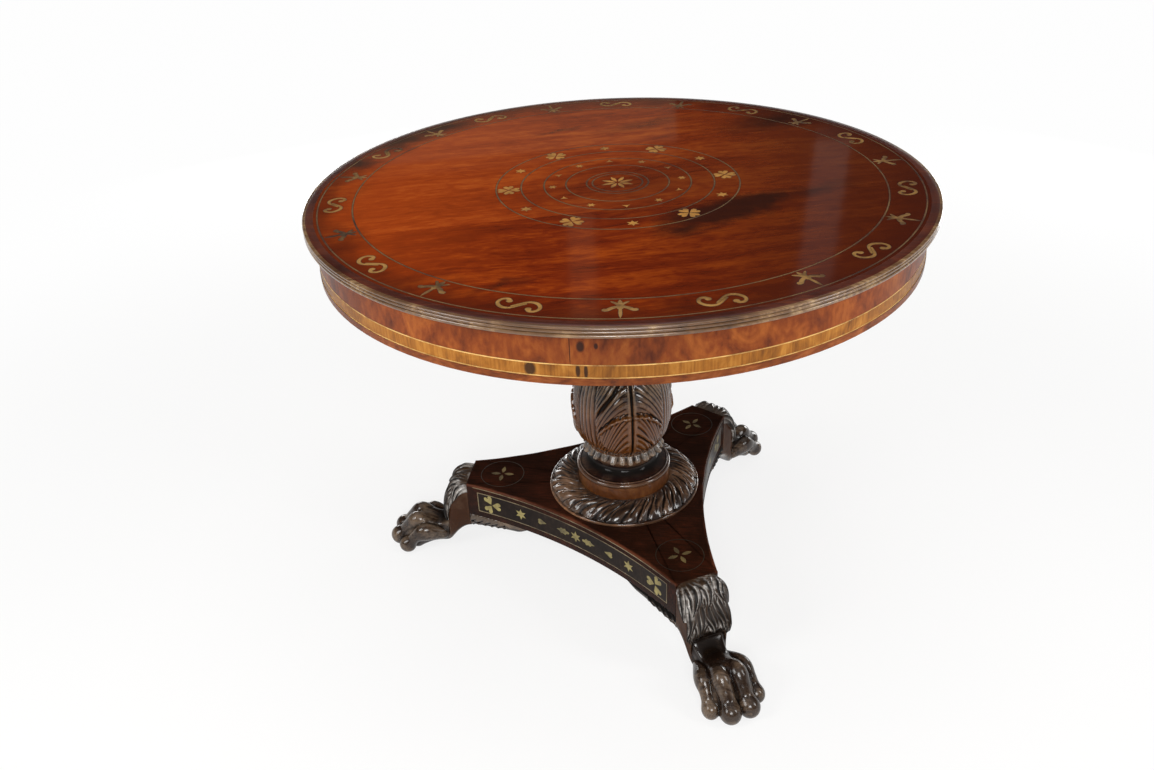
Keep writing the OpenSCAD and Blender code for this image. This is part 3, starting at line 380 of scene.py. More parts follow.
# petals dulled by wax to a soft straw colour
dress(old_brass("waxed_petal_brass", "#a08d5c", "#7b6a42", "#4b3f29"), "corner_petals")

# Gadroon ring: a flat dome of mahogany carved with slanted gadroons, glued round the drum.
# Each gadroon swells towards the rim and trails off inwards; a thin plain bead runs round the foot.
ring_in, ring_out, ring_high, gadroons, slant = 82.8, 135.5, 22, 32, 20

def full_turn(steps):
    """Angles that go once round, in radians"""
    return np.arange(steps) * 2 * np.pi / steps

def round_axis(radius, angle, height):
    """Points about the table's own axis"""
    return np.stack([radius * np.cos(angle), radius * np.sin(angle), height + 0 * angle], 2)

ring_profile = [[0, 0], [0, 0.5], [0, 0.84], [0.1, 0.95], [0.2, 1], [0.33, 1.01], [0.46, 0.98], [0.6, 0.9],
                [0.72, 0.76], [0.82, 0.58], [0.89, 0.38], [0.925, 0.24], [0.95, 0.235], [0.985, 0.2],
                [1, 0.1], [1, 0]]
at = np.linspace(0, len(ring_profile) - 1, 90)
across, up = smooth_at(ring_profile, at).T[:, None, :]
across, up = np.clip(across, 0, 1), np.clip(up, 0, 1.02)
angle = full_turn(1050)[:, None]
sweep = np.radians(slant) * (0.75 * across + 0.25 * rise(across, 0.1, 0.8))
turn = (angle + sweep) * gadroons / (2 * np.pi)
turn = turn + 0.13 * np.sin(turn * 2.3) + 0.07 * np.sin(turn * 5.1 + across * 6)
part = (turn % 1) * 2 - 1                       # -1 to 1 across one gadroon
swell = np.sqrt(np.maximum(0, 1 - (np.abs(part) / 0.93) ** 2.4))
fold = part + 0.35 * np.sin(across * 3.4)       # a leaf-like fold runs along every gadroon
crease = -np.exp(-((fold - 0.1) / 0.13) ** 2) + 0.6 * np.exp(-((fold + 0.2) / 0.2) ** 2)
crease = crease * rise(across, 0.12, 0.3) * (1 - rise(across, 0.68, 0.86))
carved = rise(across, 0.04, 0.16) * (1 - rise(across, 0.9, 0.93)) * (at > 2)
bulb = 0.5 + 0.62 * rise(across, 0.2, 0.72)
lift = carved * (5.8 * bulb * (swell - 0.86) + 1.9 * crease)
# no two are cut alike
lift = lift + carved * (1.0 * np.sin(turn * 1.9 + across * 4) * np.cos(turn * 0.8)
                        + 0.7 * np.sin(turn * 7.3 + across * 11) * rise(across, 0.2, 0.5))
radius = ring_in + (ring_out - ring_in) * across + lift * rise(across, 0.6, 0.9) * 0.45
points = round_axis(radius, angle, high_z + ring_high * up + lift * (1 - 0.35 * rise(across, 0.6, 0.9)))
points[..., 2] = np.clip(points[..., 2], high_z, None)
# waxed and dusted for years: folds painted black as shade and dust, brown with small bright lights on every
# crest
ring_finish = dark_mahogany("gadrooned_mahogany", "#0c0604", "#22140d", "#86654c", 0.95, figure=0.5,
                            shine=0.15, haze=0.16)
new_piece("carved_gadroon_ring", mark_relief(skin(points, ring=True), 14, 0.8), ring_finish, "base",
          "gadroon_ring")

# the plain bead round its foot, where feet and brooms have rubbed the stain off to red brown wood
spot = np.linspace(-math.pi, math.pi, 720, endpoint=False)[:, None]
rubbed_by = 0.25 + 0.75 * rise(np.sin(3 * spot + 0.8) + 0.6 * np.sin(7 * spot), -0.6, 1.0)
a = np.linspace(-math.pi / 2, math.pi * 0.75, 14)[None, :]
thick = 2.3 + 0.25 * np.sin(41 * spot) * np.sin(9 * spot)
points = round_axis(ring_out - 1.9 + thick * np.cos(a), spot, high_z + 2.3 + thick * np.sin(a))
bead_finish = dark_mahogany("rubbed_bead_mahogany", "#150b06", "#38200f", "#a87650", 0.6, figure=0.5,
                            shine=0.2)
new_piece("rubbed_bead", mark(skin(points, ring=True), "relief", np.repeat(rubbed_by, a.size)), bead_finish,
          "base")

# Drum: a short turned block between the platform and the stem, of paler red mahogany.
# Turned and wiped with oil, it shows a plain satin brown that never took the black stain.
dress(dark_mahogany("pale_drum_mahogany", "#2e1608", "#5c3214", "#8a5a2c", 0.8), "drum")

# Stem foot: a torus, fillet, dish and swell turned from one block, with a tenon down through the platform.
# It was burnished on the lathe, so it is near black with long sharp lights round each member.
torus_bottom, swell_out = 209, 63.5
arc = np.radians(np.linspace(-90, 90, 25))
fall = np.linspace(0, 1, 20)
foot_profile = (
    [[0.5, torus_bottom], [79.5, torus_bottom]]
    + [[80 + 4.5 * math.cos(a), torus_bottom + 4.5 + 4.5 * math.sin(a)] for a in arc]
    + [[79.8, 218], [79.5, 218.3], [79.5, 219.7], [79, 220], [77.9, 220]]
    + [[58 + 19.5 * (1 - t) ** 2.7, 220 + 17 * t] for t in fall]
    + [[58 + 5.5 * math.sin(a), 237 + 13.5 * a / (math.pi / 2)] for a in np.radians(np.linspace(4, 90, 24))]
    + [[swell_out, 258], [swell_out - 0.3, 265.5], [18, 265.5], [18, 294], [0.5, 294]])
radius, height = np.array(foot_profile).T[:, :, None]
foot = skin(round_axis(radius, full_turn(360)[None, :], height))
foot_finish = dark_mahogany("polished_dark_mahogany", "#120605", "#260e0a", "#6e5038", 0.9, figure=0.6,
                            shine=0.1, haze=0.1)
# the dish is painted near black as shade, and the torus paler, partly as rubbing and partly as painted
# highlight
new_piece("turned_foot", mark_relief(foot, 30, 1.1), foot_finish, "base", "stem_foot")

# Leaf collar: twenty-seven small curled leaves under the vase, carved from one ring of mahogany.
# Every hand that moves the table rubs them: their tips are a pale greyed brown, partly rubbing and partly
# painted highlight, against gaps painted black as shade.
leaves, collar_in, collar_low = 27, 62.2, 250.5
at = np.linspace(0, 1, 46)
angle = full_turn(1200)[:, None]
part = ((angle * leaves / (2 * np.pi) + 0.12 * np.sin(5 * angle)) % 1) * 2 - 1
leaf = np.cos(np.pi / 2 * part) ** 0.85 * (1 + 0.22 * np.sin(9 * angle + 1) * np.sin(4 * angle))
leaf = leaf - 0.16 * np.exp(-(part / 0.16) ** 2)
out, high = smooth_at([[0, 0.02], [0.75, 0.0], [1.05, 0.12], [0.98, 0.34], [0.74, 0.6], [0.5, 0.82],
                       [0.3, 0.98], [0, 1]], at * 7).T[:, None, :]
radius = collar_in + (0.6 + 9.6 * leaf.clip(0, 1.15)) * out
height = collar_low + 15 * high + 4.6 * (1 - leaf.clip(0, 1)) * (1 - rise(high, 0.1, 0.7))
collar = skin(round_axis(radius, angle, height), ring=True)
collar_finish = dark_mahogany("rubbed_collar_painted_highlights", "#0d0705", "#1c110b", "#93795f", 1.0, figure=0.5,
                              shine=0.5, haze=0.14)
new_piece("carved_leaf_collar", mark_relief(collar, 50), collar_finish, "base", "leaf_collar")

# Vase: turned mahogany carved with three large leaves, a small leaf in front of each, and flutes between.
# The ribs fall away from a deep central vein like the barbs of a feather.
vase_low, vase_high, vase_out = 265.5, 208, 85.8
vase_form = [0.75, 0.915, 0.98, 1, 1.003, 0.992, 0.965, 0.9, 0.79, 0.64, 0.53, 0.47]
high = np.linspace(0, vase_high, 250)[:, None]
angle = np.arange(390)[None, :] * 360 / 390
from_vein = (angle - 288 + 60) % 120 - 60
aside = np.abs(from_vein)          # degrees from the nearest vein
plain = vase_out * smooth_at(vase_form, high / vase_high * 11)
falling = high + 0.04 * aside ** 2
rib = falling / 12.5
barb = 0.35 * (1 - rib % 1) + 0.65 * np.abs(np.sin(np.pi * rib)) ** 0.6
deep = 1 + 0.5 * (np.floor(rib) % 3 == 1)
fine = np.abs(np.sin(np.pi * rib * 3.0))
tooth = 1.6 * (barb - 0.5)
leaf_edge = 44 + tooth - 40 * rise(high, 138, 206) + 2 * rise(high, 90, 130)
leaf = 1 - rise(aside, leaf_edge - 3, leaf_edge)
flute = np.abs(np.sin(np.radians(aside - 60) * 27))
vein = np.exp(-(aside / 1.5) ** 2)
lips = np.exp(-((aside - 3.3) / 1.5) ** 2)
low_width = 17 + 23.5 * rise(high, -8, 44)
low_top = 96.5 - 31 * (aside / 36) ** 2.3 + 1.7 * np.abs(np.sin(np.radians(aside) * 26))
low = (1 - rise(high, low_top - 3.2, low_top)) * (1 - rise(aside, low_width - 4, low_width))
curl = np.exp(-((high - low_top + 5) / 3.6) ** 2) * (aside < low_width)
low_rib = (high + 0.7 * aside + 0.055 * aside ** 2 + 3.4 * np.sin(aside / 6 + high / 23)) / 12.5
low_barb = np.abs(np.sin(np.pi * low_rib)) ** 0.8
low_barb = 1 - (1 - low_barb) * (0.45 + 0.55 * np.sin(low_rib * 2.1 + (from_vein > 0)) ** 2)
relief = (leaf * (0.8 - 2.7 * deep * (1 - barb) * rise(aside, 3, 11) + 0.2 * fine)
          - (1 - leaf) * (1.7 + 1.5 * (1 - flute)))
# a big lobe curls over on one side of each leaf, with a deep hollow under it
under = 91.5 + 2.14 * (45 - aside) - high
lobe = rise(aside, 8, 18) * (1 - rise(aside, 40, 46)) * (from_vein < 0)
relief = relief + lobe * (2.4 * np.exp(-((under + 3) / 3.4) ** 2) - 5.2 * np.exp(-((under - 7) / 6) ** 2))
relief = relief * (1 - low) + low * (1.9 - 2.3 * (1 - low_barb) * rise(aside, 2, 8)
                                     * (1 - rise(high, low_top - 9, low_top - 4)) + 2.8 * curl)
relief = relief - 2.4 * np.exp(-((high - low_top - 2.5) / 2) ** 2) * (aside < low_width) * rise(aside, 2, 6)
# on the other side one broad rib of the small leaf stands over a dark fold
fold = high - (62 - 0.85 * aside - 0.022 * aside ** 2)
fold = (2.2 * np.exp(-((fold - 5) / 5) ** 2) - 3.4 * np.exp(-((fold + 1.5) / 1.9) ** 2))
relief = relief + low * fold * rise(aside, 2, 7) * (1 - rise(aside, 26, 34)) * (from_vein > 0)
relief = relief + (leaf + low).clip(0, 1) * (1.1 * lips - 4.2 * vein)
relief = relief * rise(high, 0, 7) * (1 - rise(high, vase_high - 12, vase_high))
vase = skin(round_axis(plain + relief, np.radians(angle), vase_low + high))
# darker above, where its ribs glint, and a warmer red brown low down
vase_finish = dark_mahogany("carved_vase_mahogany", "#0e0703", "#1d0f07", "#8a6c4c", 1.0, figure=0.5,
                            shine=0.05, haze=0.14, warm="#5e3002")
new_piece("carved_vase", mark_relief(vase, 7), vase_finish, "base", "vase")
dress(carving_finish, "stem_neck")

# Legs: carved from mahogany blocks and dowelled to the platform's cut corners.
# Each has a squared knee hung with locks of fur, a hollow ankle and a paw with four toes.
leg_outer = [[0, 1], [0.108, 0.979], [0.193, 0.9], [0.247, 0.782], [0.268, 0.645], [0.271, 0.545],
             [0.236, 0.485], [0.319, 0.43], [0.434, 0.4], [0.548, 0.418], [0.645, 0.442], [0.753, 0.406],
             [0.849, 0.316], [0.928, 0.215], [0.982, 0.113], [0.994, 0.03]]
leg_inner = [[0, 0.37], [0.054, 0.358], [0.114, 0.322], [0.175, 0.263], [0.223, 0.203], [0.265, 0.149],
             [0.307, 0.113], [0.355, 0.096], [0.428, 0.084], [0.506, 0.072], [0.584, 0.042], [0.663, 0],
             [0.747, 0], [0.825, 0], [0.898, 0], [0.952, 0]]
leg_width = [38, 38, 37.4, 36.5, 35, 33, 30, 27.4, 27, 31.2, 37.4, 43.7, 45, 42, 36, 28]
reach = 169        # from the platform's corner to the toes

def leg_at(s, v):
    """Place on the leg's plain form: s runs from the platform to the toes, v round the leg from 0 to 2 pi"""
    a, b = smooth_at(leg_outer, s), smooth_at(leg_inner, s)
    top = 0.3 + 0.2 * rise(s, 0, 2) + 0.42 * rise(s, 5, 9)
    power = np.where(np.sin(v) > 0, top, 0.4)
    across = np.sign(np.cos(v)) * np.abs(np.cos(v)) ** power
    up = np.sign(np.sin(v)) * np.abs(np.sin(v)) ** power
    upper = np.maximum(0, up)
    hollow = 6.5 * rise(s, 5.4, 6.0) * (1 - rise(s, 7.4, 8.8)) * upper * (1 - across ** 4)
    sunk = 12 * rise(s, 9, 11.5)
    arm = (a - b) / 2
    long = np.hypot(arm[..., 0] * reach, arm[..., 1] * high_z)
    place = (a + b) / 2 + arm * (up - (hollow + sunk * upper) / long)[..., None]
    # long flutes on the side faces
    side = rise(np.abs(across), 0.9, 0.98) * rise(s, 0.1, 0.8) * (1 - rise(s, 7.5, 9.5))
    fluted = 1.7 * side * (1 - np.abs(np.sin(np.pi * (1.6 * up + 0.3))))
    return np.stack([corner_far + np.maximum(0, place[..., 0] * reach - 8 * rise(s, 10, 15)),
                     across * (smooth_at(leg_width, s) - fluted) * (1 - 0.2 * rise(s, 9, 12)),
                     np.maximum(0, place[..., 1] * high_z)], -1)

# the paw is built of round masses and then melted together. Each toe runs from its root over the
# knuckle and a thinner joint to the pad, given as place along, across and up, and half sizes
inner_toe = [(372, 12, 40, 20, 11, 15), (400, 14.8, 52.5, 19, 17.2, 22.6), (419, 15.2, 44, 13.6, 14, 14.4),
             (431, 15.8, 31, 12.6, 13.4, 13), (441, 16.6, 19, 19.4, 17.8, 19.2)]
outer_toe = [(358, 27, 37, 19, 9, 13), (383, 35.5, 44, 17.5, 14.2, 18.5), (400, 38, 36.5, 12.6, 12, 13),
             (411, 39.2, 25.5, 11.6, 12, 12), (420.5, 40.6, 16, 16.6, 14.6, 16.4)]

def toe(stations, hand):
    """The round masses of one toe"""
    a, b = np.linspace(0.02, math.pi - 0.02, 16)[:, None], full_turn(24)[None, :]
    for x, y, z, long, wide, high in smooth_at(stations, np.linspace(0, 4, 27)):
        yield np.stack([x + long * np.sin(a) * np.cos(b), hand * y + wide * np.sin(a) * np.sin(b),
                        np.maximum(0.2, z + high * np.cos(a) + 0 * b)], -1)

leg_parts = [leg_at(np.linspace(0, 13.2, 110)[:, None], full_turn(96)[None, :])]
for hand in (-1, 1):
    leg_parts += list(toe(inner_toe, hand)) + list(toe(outer_toe, hand))

def join_meshes(meshes):
    """One mesh of several"""
    places, faces = np.empty((0, 3)), []
    for mesh in meshes:
        faces += [[len(places) + v for v in f.vertices] for f in mesh.polygons]
        places = np.concatenate([places, read(mesh.vertices, "co", 3)])
    made = bpy.data.meshes.new("joined")
    made.from_pydata(places, [], faces)
    made.shade_smooth()
    return made

block = put("leg_masses", join_meshes([skin(p) for p in leg_parts]))
melt = block.modifiers.new("melt", "REMESH")
melt.mode, melt.voxel_size, melt.use_smooth_shade = "VOXEL", 0.0011, True
ease = block.modifiers.new("ease", "SMOOTH")
ease.factor, ease.iterations = 0.5, 8
leg_body = bpy.data.meshes.new_from_object(block.evaluated_get(bpy.context.evaluated_depsgraph_get()))
bpy.data.objects.remove(block)

# fur: rows of pointed locks laid like shingles over the knee, three strands to each. The last row
# ends in a straight cuff that stands over the ankle
def off_leg(s, v, up):
    """Places that stand up millimetres off the leg's plain form"""
    ds = leg_at(s + 0.02, v) - leg_at(s - 0.02, v)
    dv = leg_at(s, v + 0.02) - leg_at(s, v - 0.02)
    normal = np.cross(dv, ds)
    normal /= np.maximum(np.linalg.norm(normal, axis=-1), 1e-6)[..., None]
    return leg_at(s, v) + normal * up[..., None]

def arc_length(points):
    """Distance from the first point to each one"""
    return np.concatenate([[0], np.cumsum(np.linalg.norm(np.diff(points, axis=0), axis=1))])

s_fine, v_fine = np.linspace(0.02, 5.08, 400), np.linspace(0.1, math.pi - 0.1, 4000)
down = arc_length(leg_at(s_fine, np.pi / 2 + 0 * s_fine))
round_knee = arc_length(leg_at(2.5 + 0 * v_fine, v_fine))
round_knee -= round_knee[-1] / 2
along = np.linspace(0, down[-1], 190)[:, None]
across = np.linspace(-54, 54, 200)[None, :]
fur_s = np.interp(along, down, s_fine) + 0 * across
fur_v = np.interp(across, round_knee, v_fine) + 0 * along
lift = 0.8 + 1.2 * np.abs(np.sin(across * 0.4 * (1 + along / 400) + 0.6 * np.sin(along / 14)))
chance = np.random.default_rng(11)
fur_rows = [    # where a row of locks starts, locks, half spread, length, half width and height of one
    (66, 6, 46, 46, 10.5, 4.2), (38, 5, 38, 64, 14.5, 7.2),
    (14, 6, 46, 42, 10, 4.4), (-8, 5, 38, 60, 15, 7.6)]
for start, count, spread, long, wide, stand in fur_rows:
    for k in range(count):
        root = (k / (count - 1) * 2 - 1) * spread * 0.82 + chance.uniform(-2, 2)
        t = (along - start - chance.uniform(-3, 3)) / (long + chance.uniform(-3, 3))
        inside = (t > 0) & (t < 1)
        t = t.clip(0, 1)
        line = root + 0.85 * root * t ** 1.7 + 6.4 * np.sin(t * 4.6 + chance.uniform(0, 6)) * t
        width = wide * np.minimum(1, 0.5 + 1.4 * t) * np.maximum(1e-3, 1 - t ** 2.4) ** 0.75
        u = (across - line) / width
        body = np.sqrt(np.maximum(0, 1 - u ** 2))
        strands = np.abs(np.cos(np.pi * (u * 1.2 + 0.3 * np.sin(3 * t + root)))) ** 0.9
        lock = (stand * np.sin(np.pi * (0.07 + 0.65 * t)) * (0.25 + 0.75 * body)
                + 5.2 * (strands - 0.75) * (1 - 0.15 * t))
        lift = np.where(inside & (np.abs(u) < 1), np.maximum(lift, lock), lift)
side_fade = 1 - rise(np.abs(across), 50, 54)
lift = lift * side_fade * rise(along, -3, 24) - 0.8 * (1 - side_fade)
lift[-1] = -1.5
fur_points = off_leg(fur_s, fur_v, lift)
rows, cols = fur_points.shape[:2]
fur = bpy.data.meshes.new("fur")
fur.from_pydata(fur_points.reshape(-1, 3) / 1000, [], [
    (i * cols + j, (i + 1) * cols + j, (i + 1) * cols + j + 1, i * cols + j + 1)
    for i in range(rows - 1) for j in range(cols - 1)])
fur.shade_smooth()
# the hollow of the ankle under the cuff is painted darker as shade, and the side faces were planed and never
# polished up
place = read(leg_body.vertices, "co", 3) * 1000
aside = abs(place[:, 1])
ankle_shade = np.exp(-((place[:, 0] - 350) / 20) ** 2) * rise(place[:, 2], 50, 66) * (1 - rise(aside, 20, 27))
mark_relief(leg_body, 26, 0.5, dirt_and_shade=0.6 * ankle_shade)
mark(leg_body, "planed", 0.8 * rise(aside, 29, 35) * (1 - rise(place[:, 0], 335, 350)))
# the crests of the fur are painted pale in patches, partly as rubbing by hands and partly as painted
# highlight: silver over deep brown
highlight_patch = 0.3 + 0.7 * rise(np.sin((along - 21) / 8.75 + across / 26 + 0.8 * np.sin(across / 9)), -0.5, 0.8)
mark_relief(fur, 22, 0.95, wear_and_highlight=highlight_patch.ravel())
fur_finish = dark_mahogany("rubbed_fur_painted_highlights", "#100a06", "#3f2e21", "#eeeae4", 1.0, figure=0.5,
                           shine=0.15, haze=0.09)
for name, angle in (("left", 180), ("front", 300), ("back", 60)):
    for form, source, finish, nodes in (("leg", leg_body, carving_finish, ("leg_" + name,)),
                                        ("fur", fur, fur_finish, ())):
        mesh = source.copy()
        mesh.transform(Matrix.Rotation(math.radians(angle), 4, "Z"))
        new_piece("carved_" + form + "_" + name, mesh, finish, "base", *nodes)

# Leaf brackets: under the platform a carved leaf runs back from each side of every leg.
# The part next to the leg is a curled acanthus leaf; beyond an upright joint its tail is plain.
bracket_end, bracket_long, bracket_high, bracket_thick = 232, 124, 31, 24
t, a = np.linspace(0, 1, 130)[:, None], np.linspace(0, math.pi, 70)[None, :]
face = np.abs(np.cos(a)) ** 0.5 * np.sign(np.cos(a))         # 1 on the outer face, -1 on the inner one
depth = np.sin(a) ** 0.5
leafy = rise(t, 0.42, 0.46)
scallop = 1 - 0.1 * leafy * np.abs(np.sin(np.pi * t * 9)) ** 0.5 - 0.03 * (1 - leafy)
drop = bracket_high * (0.45 + 0.55 * t) * np.sin(np.pi / 2 * np.minimum(1, t / 0.25)) * scallop
rib = np.abs(np.sin(np.pi * (t * 8 - 2.4 * depth ** 2)))
vein = np.exp(-((depth - 0.55 - 0.2 * np.sin(3 * t)) / 0.07) ** 2)
carve = rise(face, 0, 0.7) * (
    leafy * (2.4 * (rib ** 0.7 - 1) + 1.4 * np.sin(np.pi * depth) - 1.6 * vein - 0.4)
    - 2.2 * (1 - leafy) - 1.5 * np.exp(-((t - 0.44) / 0.012) ** 2))
wings = []
for side in (0, 120, 240):
    for hand in (-1, 1):
        along_side = hand * (bracket_end - bracket_long * (1 - t)) + 0 * a
        out_to = 1000 * side_centre - np.sqrt((1000 * side_radius) ** 2 - along_side ** 2)
        out_to = out_to - bracket_thick / 2 * (1 - face) - 0.5 + carve
        wing = np.stack([out_to, along_side, low_z - drop * depth + 0 * t], -1)
        turn = Matrix.Rotation(math.radians(side), 3, "Z")
        wings.append(skin(wing @ np.array(turn).T))
        if hand < 0:
            wings[-1].flip_normals()
new_piece("carved_leaf_brackets", mark_relief(join_meshes(wings), 12), carving_finish, "base",
          "leaf_brackets")

# Core woods: the board, hoop, bearers and blocks of the top, and the wedges and dowels, are deal, and the
# block that the top tilts on is beech. They were planed, and only the beech had a wash of stain.
def bare_wood(name, light, dark):
    """Wood without polish: streaks of its year rings, and a dry dusty face that gives no reflections"""
    made = new_finish(name)
    where = add(made, "TexCoord").outputs["Object"]
    # year rings about 4 mm apart along the grain
    rings = add(made, "TexNoise", {"Vector": add(made, "Mapping", {
        "Vector": where, "Scale": (260, 8, 200)}), "Scale": 1.0, "Detail": 4.0, "Roughness": 0.6})
    # dirt in clouds of 110 mm
    dirt_and_shade = add(made, "TexNoise", {"Vector": where, "Scale": 9.0, "Detail": 6.0})
    tone = add(made, "Mix", {0: 0.5, 2: rings, 3: dirt_and_shade})
    colour = add(made, "ValToRGB", {"Fac": tone}, stops=[(0.36, dark), (0.62, light)])
    add(made, "OutputMaterial", {"Surface": add(made, "BsdfPrincipled", {
        "Base Color": colour, "Roughness": 0.72, "IOR": 1.45,
        "Normal": add(made, "Bump", {"Height": rings, "Strength": 0.3, "Distance": 0.0004})})})
    return made

dress(bare_wood("old_deal", "#9a7348", "#5d3f25"), "top_board", "apron_hoop", "glue_blocks", "bearer_left",
      "bearer_right", "block_wedge", "foot_wedge", "leg_dowels")
dress(bare_wood("stained_beech", "#6d4526", "#3b2213"), "tilt_block")

# Fittings: the top turns on two steel pins, its bearers are screwed, and a brass bolt slides in two
# staples on a plate. All of it was turned or filed, and then left to the air.
# bare turned steel: a soft grey with blurred lights, in blotches of 3 mm
steel = new_finish("grey_steel")
add(steel, "OutputMaterial", {"Surface": add(steel, "BsdfPrincipled", {
    "Base Color": "#7b7875", "Metallic": 1.0, "Roughness": add(steel, "MapRange", {
        "Value": add(steel, "TexNoise", {"Scale": 300.0, "Detail": 4.0}), "To Min": 0.3, "To Max": 0.6})})})
dress(steel, "pivot_pins", "bearer_screws")
# filed brass out of the light: it keeps its yellow where the bolt slides
dress(old_brass("catch_brass", "#d2a75c", "#a67c40", "#5b4122"), "catch_plate", "catch_bolt", "catch_keeper")

# Frieze: mahogany veneers bent round the softwood hoop, laid in three bands with brass lines between.
# The main band is figured and orange brown, the middle one is cut across the grain, the lowest is dark.
hoop_out = 0.466    # metres

def oval_mark(made, where, place, half_sizes, strength, turn=0.0):
    """A dark mark in the wood, full in its middle and faded out at its half sizes"""
    spot = add(made, "Mapping", {"Vector": where, "Location": place, "Rotation": (0, 0, turn),
                                 "Scale": (*half_sizes, 1)}, vector_type="TEXTURE")
    spot = add(made, "TexGradient", {"Vector": spot}, gradient_type="SPHERICAL").outputs["Fac"]
    return add(made, "Math", {0: spot, 1: strength}, operation="MULTIPLY", use_clamp=True)

def frieze_wood(name, dark, body, light, scales, polish, marks=()):
    """Bent veneer. scales are per metre: broad figure round and up, fine figure round and up. marks are
    dark spots in the wood: place round the hoop from the front and height, then half sizes in metres"""
    made = new_finish(name)
    where = add(made, "TexCoord").outputs["Object"]
    x, y, z = add(made, "SeparateXYZ", {0: where}).outputs
    back = add(made, "Math", {0: y, 1: -1.0}, operation="MULTIPLY")
    angle = add(made, "Math", {0: x, 1: back}, operation="ARCTAN2")
    along = add(made, "Math", {0: angle, 1: hoop_out}, operation="MULTIPLY")
    flat = add(made, "CombineXYZ", {0: along, 1: z})
    slanted = add(made, "Mapping", {"Vector": flat, "Rotation": (0, 0, -0.35), "Scale": (*scales[:2], 1)})
    broad = add(made, "TexNoise", {"Vector": slanted, "Scale": 1.0, "Detail": 6.0, "Roughness": 0.62,
                                   "Distortion": 1.2})
    straight = add(made, "Mapping", {"Vector": flat, "Scale": (*scales[2:], 1)})
    fine = add(made, "TexNoise", {"Vector": straight, "Scale": 1.0, "Detail": 4.0})
    tone = add(made, "Mix", {0: 0.32, 2: broad, 3: fine})
    colour = add(made, "ValToRGB", {"Fac": tone}, stops=[(0.33, dark), (0.5, body), (0.67, light)])
    # the sheets differ in tone round the hoop, with painted light and shade over them: lightest left and
    # right of the front, darkest in painted shade at both sides
    round_hoop = add(made, "MapRange", {"Value": along, "From Min": -0.7, "From Max": 0.7})
    sheet = add(made, "ValToRGB", {"Fac": round_hoop}, stops=[
        (0.12, 0.34), (0.32, 0.95), (0.46, 0.8), (0.53, 0.62), (0.78, 1.0), (0.95, 0.45)])
    colour = add(made, "Mix", {0: 1.0, 6: colour, 7: sheet}, data_type="RGBA",
                 blend_type="MULTIPLY").outputs[2]
    for place, level, wide, high in marks:
        spot = oval_mark(made, flat, (place, level, 0), (wide, high), 2.6)
        spot = add(made, "Math", {0: spot, 1: 0.88}, operation="MULTIPLY")
        colour = add(made, "Mix", {0: spot, 6: colour, 7: "#1c0c06"}, data_type="RGBA").outputs[2]
    add(made, "OutputMaterial", {"Surface": add(made, "BsdfPrincipled", {
        "Base Color": colour, "Roughness": 0.5, "IOR": 1.5, "Specular IOR Level": 0.08,
        "Normal": add(made, "Bump", {"Height": fine, "Strength": 0.15, "Distance": 0.0002}),
        "Coat Weight": polish, "Coat Roughness": 0.15})})
    return made

# curl figure under a thin polish: flames of orange brown 50 to 80 mm long, with knots and a crack
figured = frieze_wood(
    "figured_mahogany", "#52200a", "#853e13", "#a85c22", (20, 12, 150, 60), 0.22,
    ((0.0073, 0.707, 0.006, 0.009), (0.026, 0.708, 0.003, 0.005), (-0.0057, 0.703, 0.0008, 0.026)))
dress(figured, "frieze_veneer")
# cut across the grain: upright streaks of gold brown, 2.4 mm apart
crossband = frieze_wood(
    "crossband_mahogany", "#6b3c13", "#a36622", "#c88a3a", (26, 14, 420, 14), 0.22,
    ((-0.056, 0.673, 0.009, 0.012), (0.0033, 0.674, 0.0035, 0.011), (0.013, 0.673, 0.003, 0.012)))
dress(crossband, "frieze_crossband")
# cut along the grain: level streaks 4 mm apart, a red brown darker than the rest
dress(frieze_wood("dark_band_mahogany", "#4a1e0a", "#824013", "#a8602c", (16, 30, 90, 260), 0.3),
      "frieze_low_band")
# drawn line that sleeves and dusters keep bright
dress(old_brass("frieze_line_brass", "#ecc77c", "#c69a56", "#7a5528"), "frieze_lines")

# Edge moulding: three reeds run round the edge of the top, worked in mahogany and worn pale.
# Cleaned and leant on, the reeds are a pale straw brown, and the quirks between them are painted black as
# shade and dirt.
top_z, edge_in, edge_out, edge_low = 740, 463.6, 480, 724
edge_line = [[edge_in, edge_low], [474.5, edge_low], [474.8, 724.6]]
for low, high in ((724.8, 730.2), (730.6, 735.2), (735.6, 739.2)):
    half = (high - low) / 2
    edge_line += [[edge_out - half * (1 - math.cos(a)), (low + high) / 2 + half * math.sin(a)]
                  for a in np.radians(np.linspace(-88, 88, 13))]
    edge_line += [[475.4 if high < 739 else 476.2, high + 0.2]]
edge_line += [[475.6, 739.5], [474.4, 739.4], [474, 739], [edge_in, 738.5]]
radius, height = np.array(edge_line).T[:, None, :]
angle = full_turn(720)[:, None]
edge = skin(round_axis(radius, angle, height), ring=True)
edge_finish = dark_mahogany("worn_reeded_mahogany", "#2f180c", "#5e3f24", "#b39367", 0.9, shine=0.3)
new_piece("reeded_edge", mark_relief(edge, 5), edge_finish, "top", "edge_moulding")

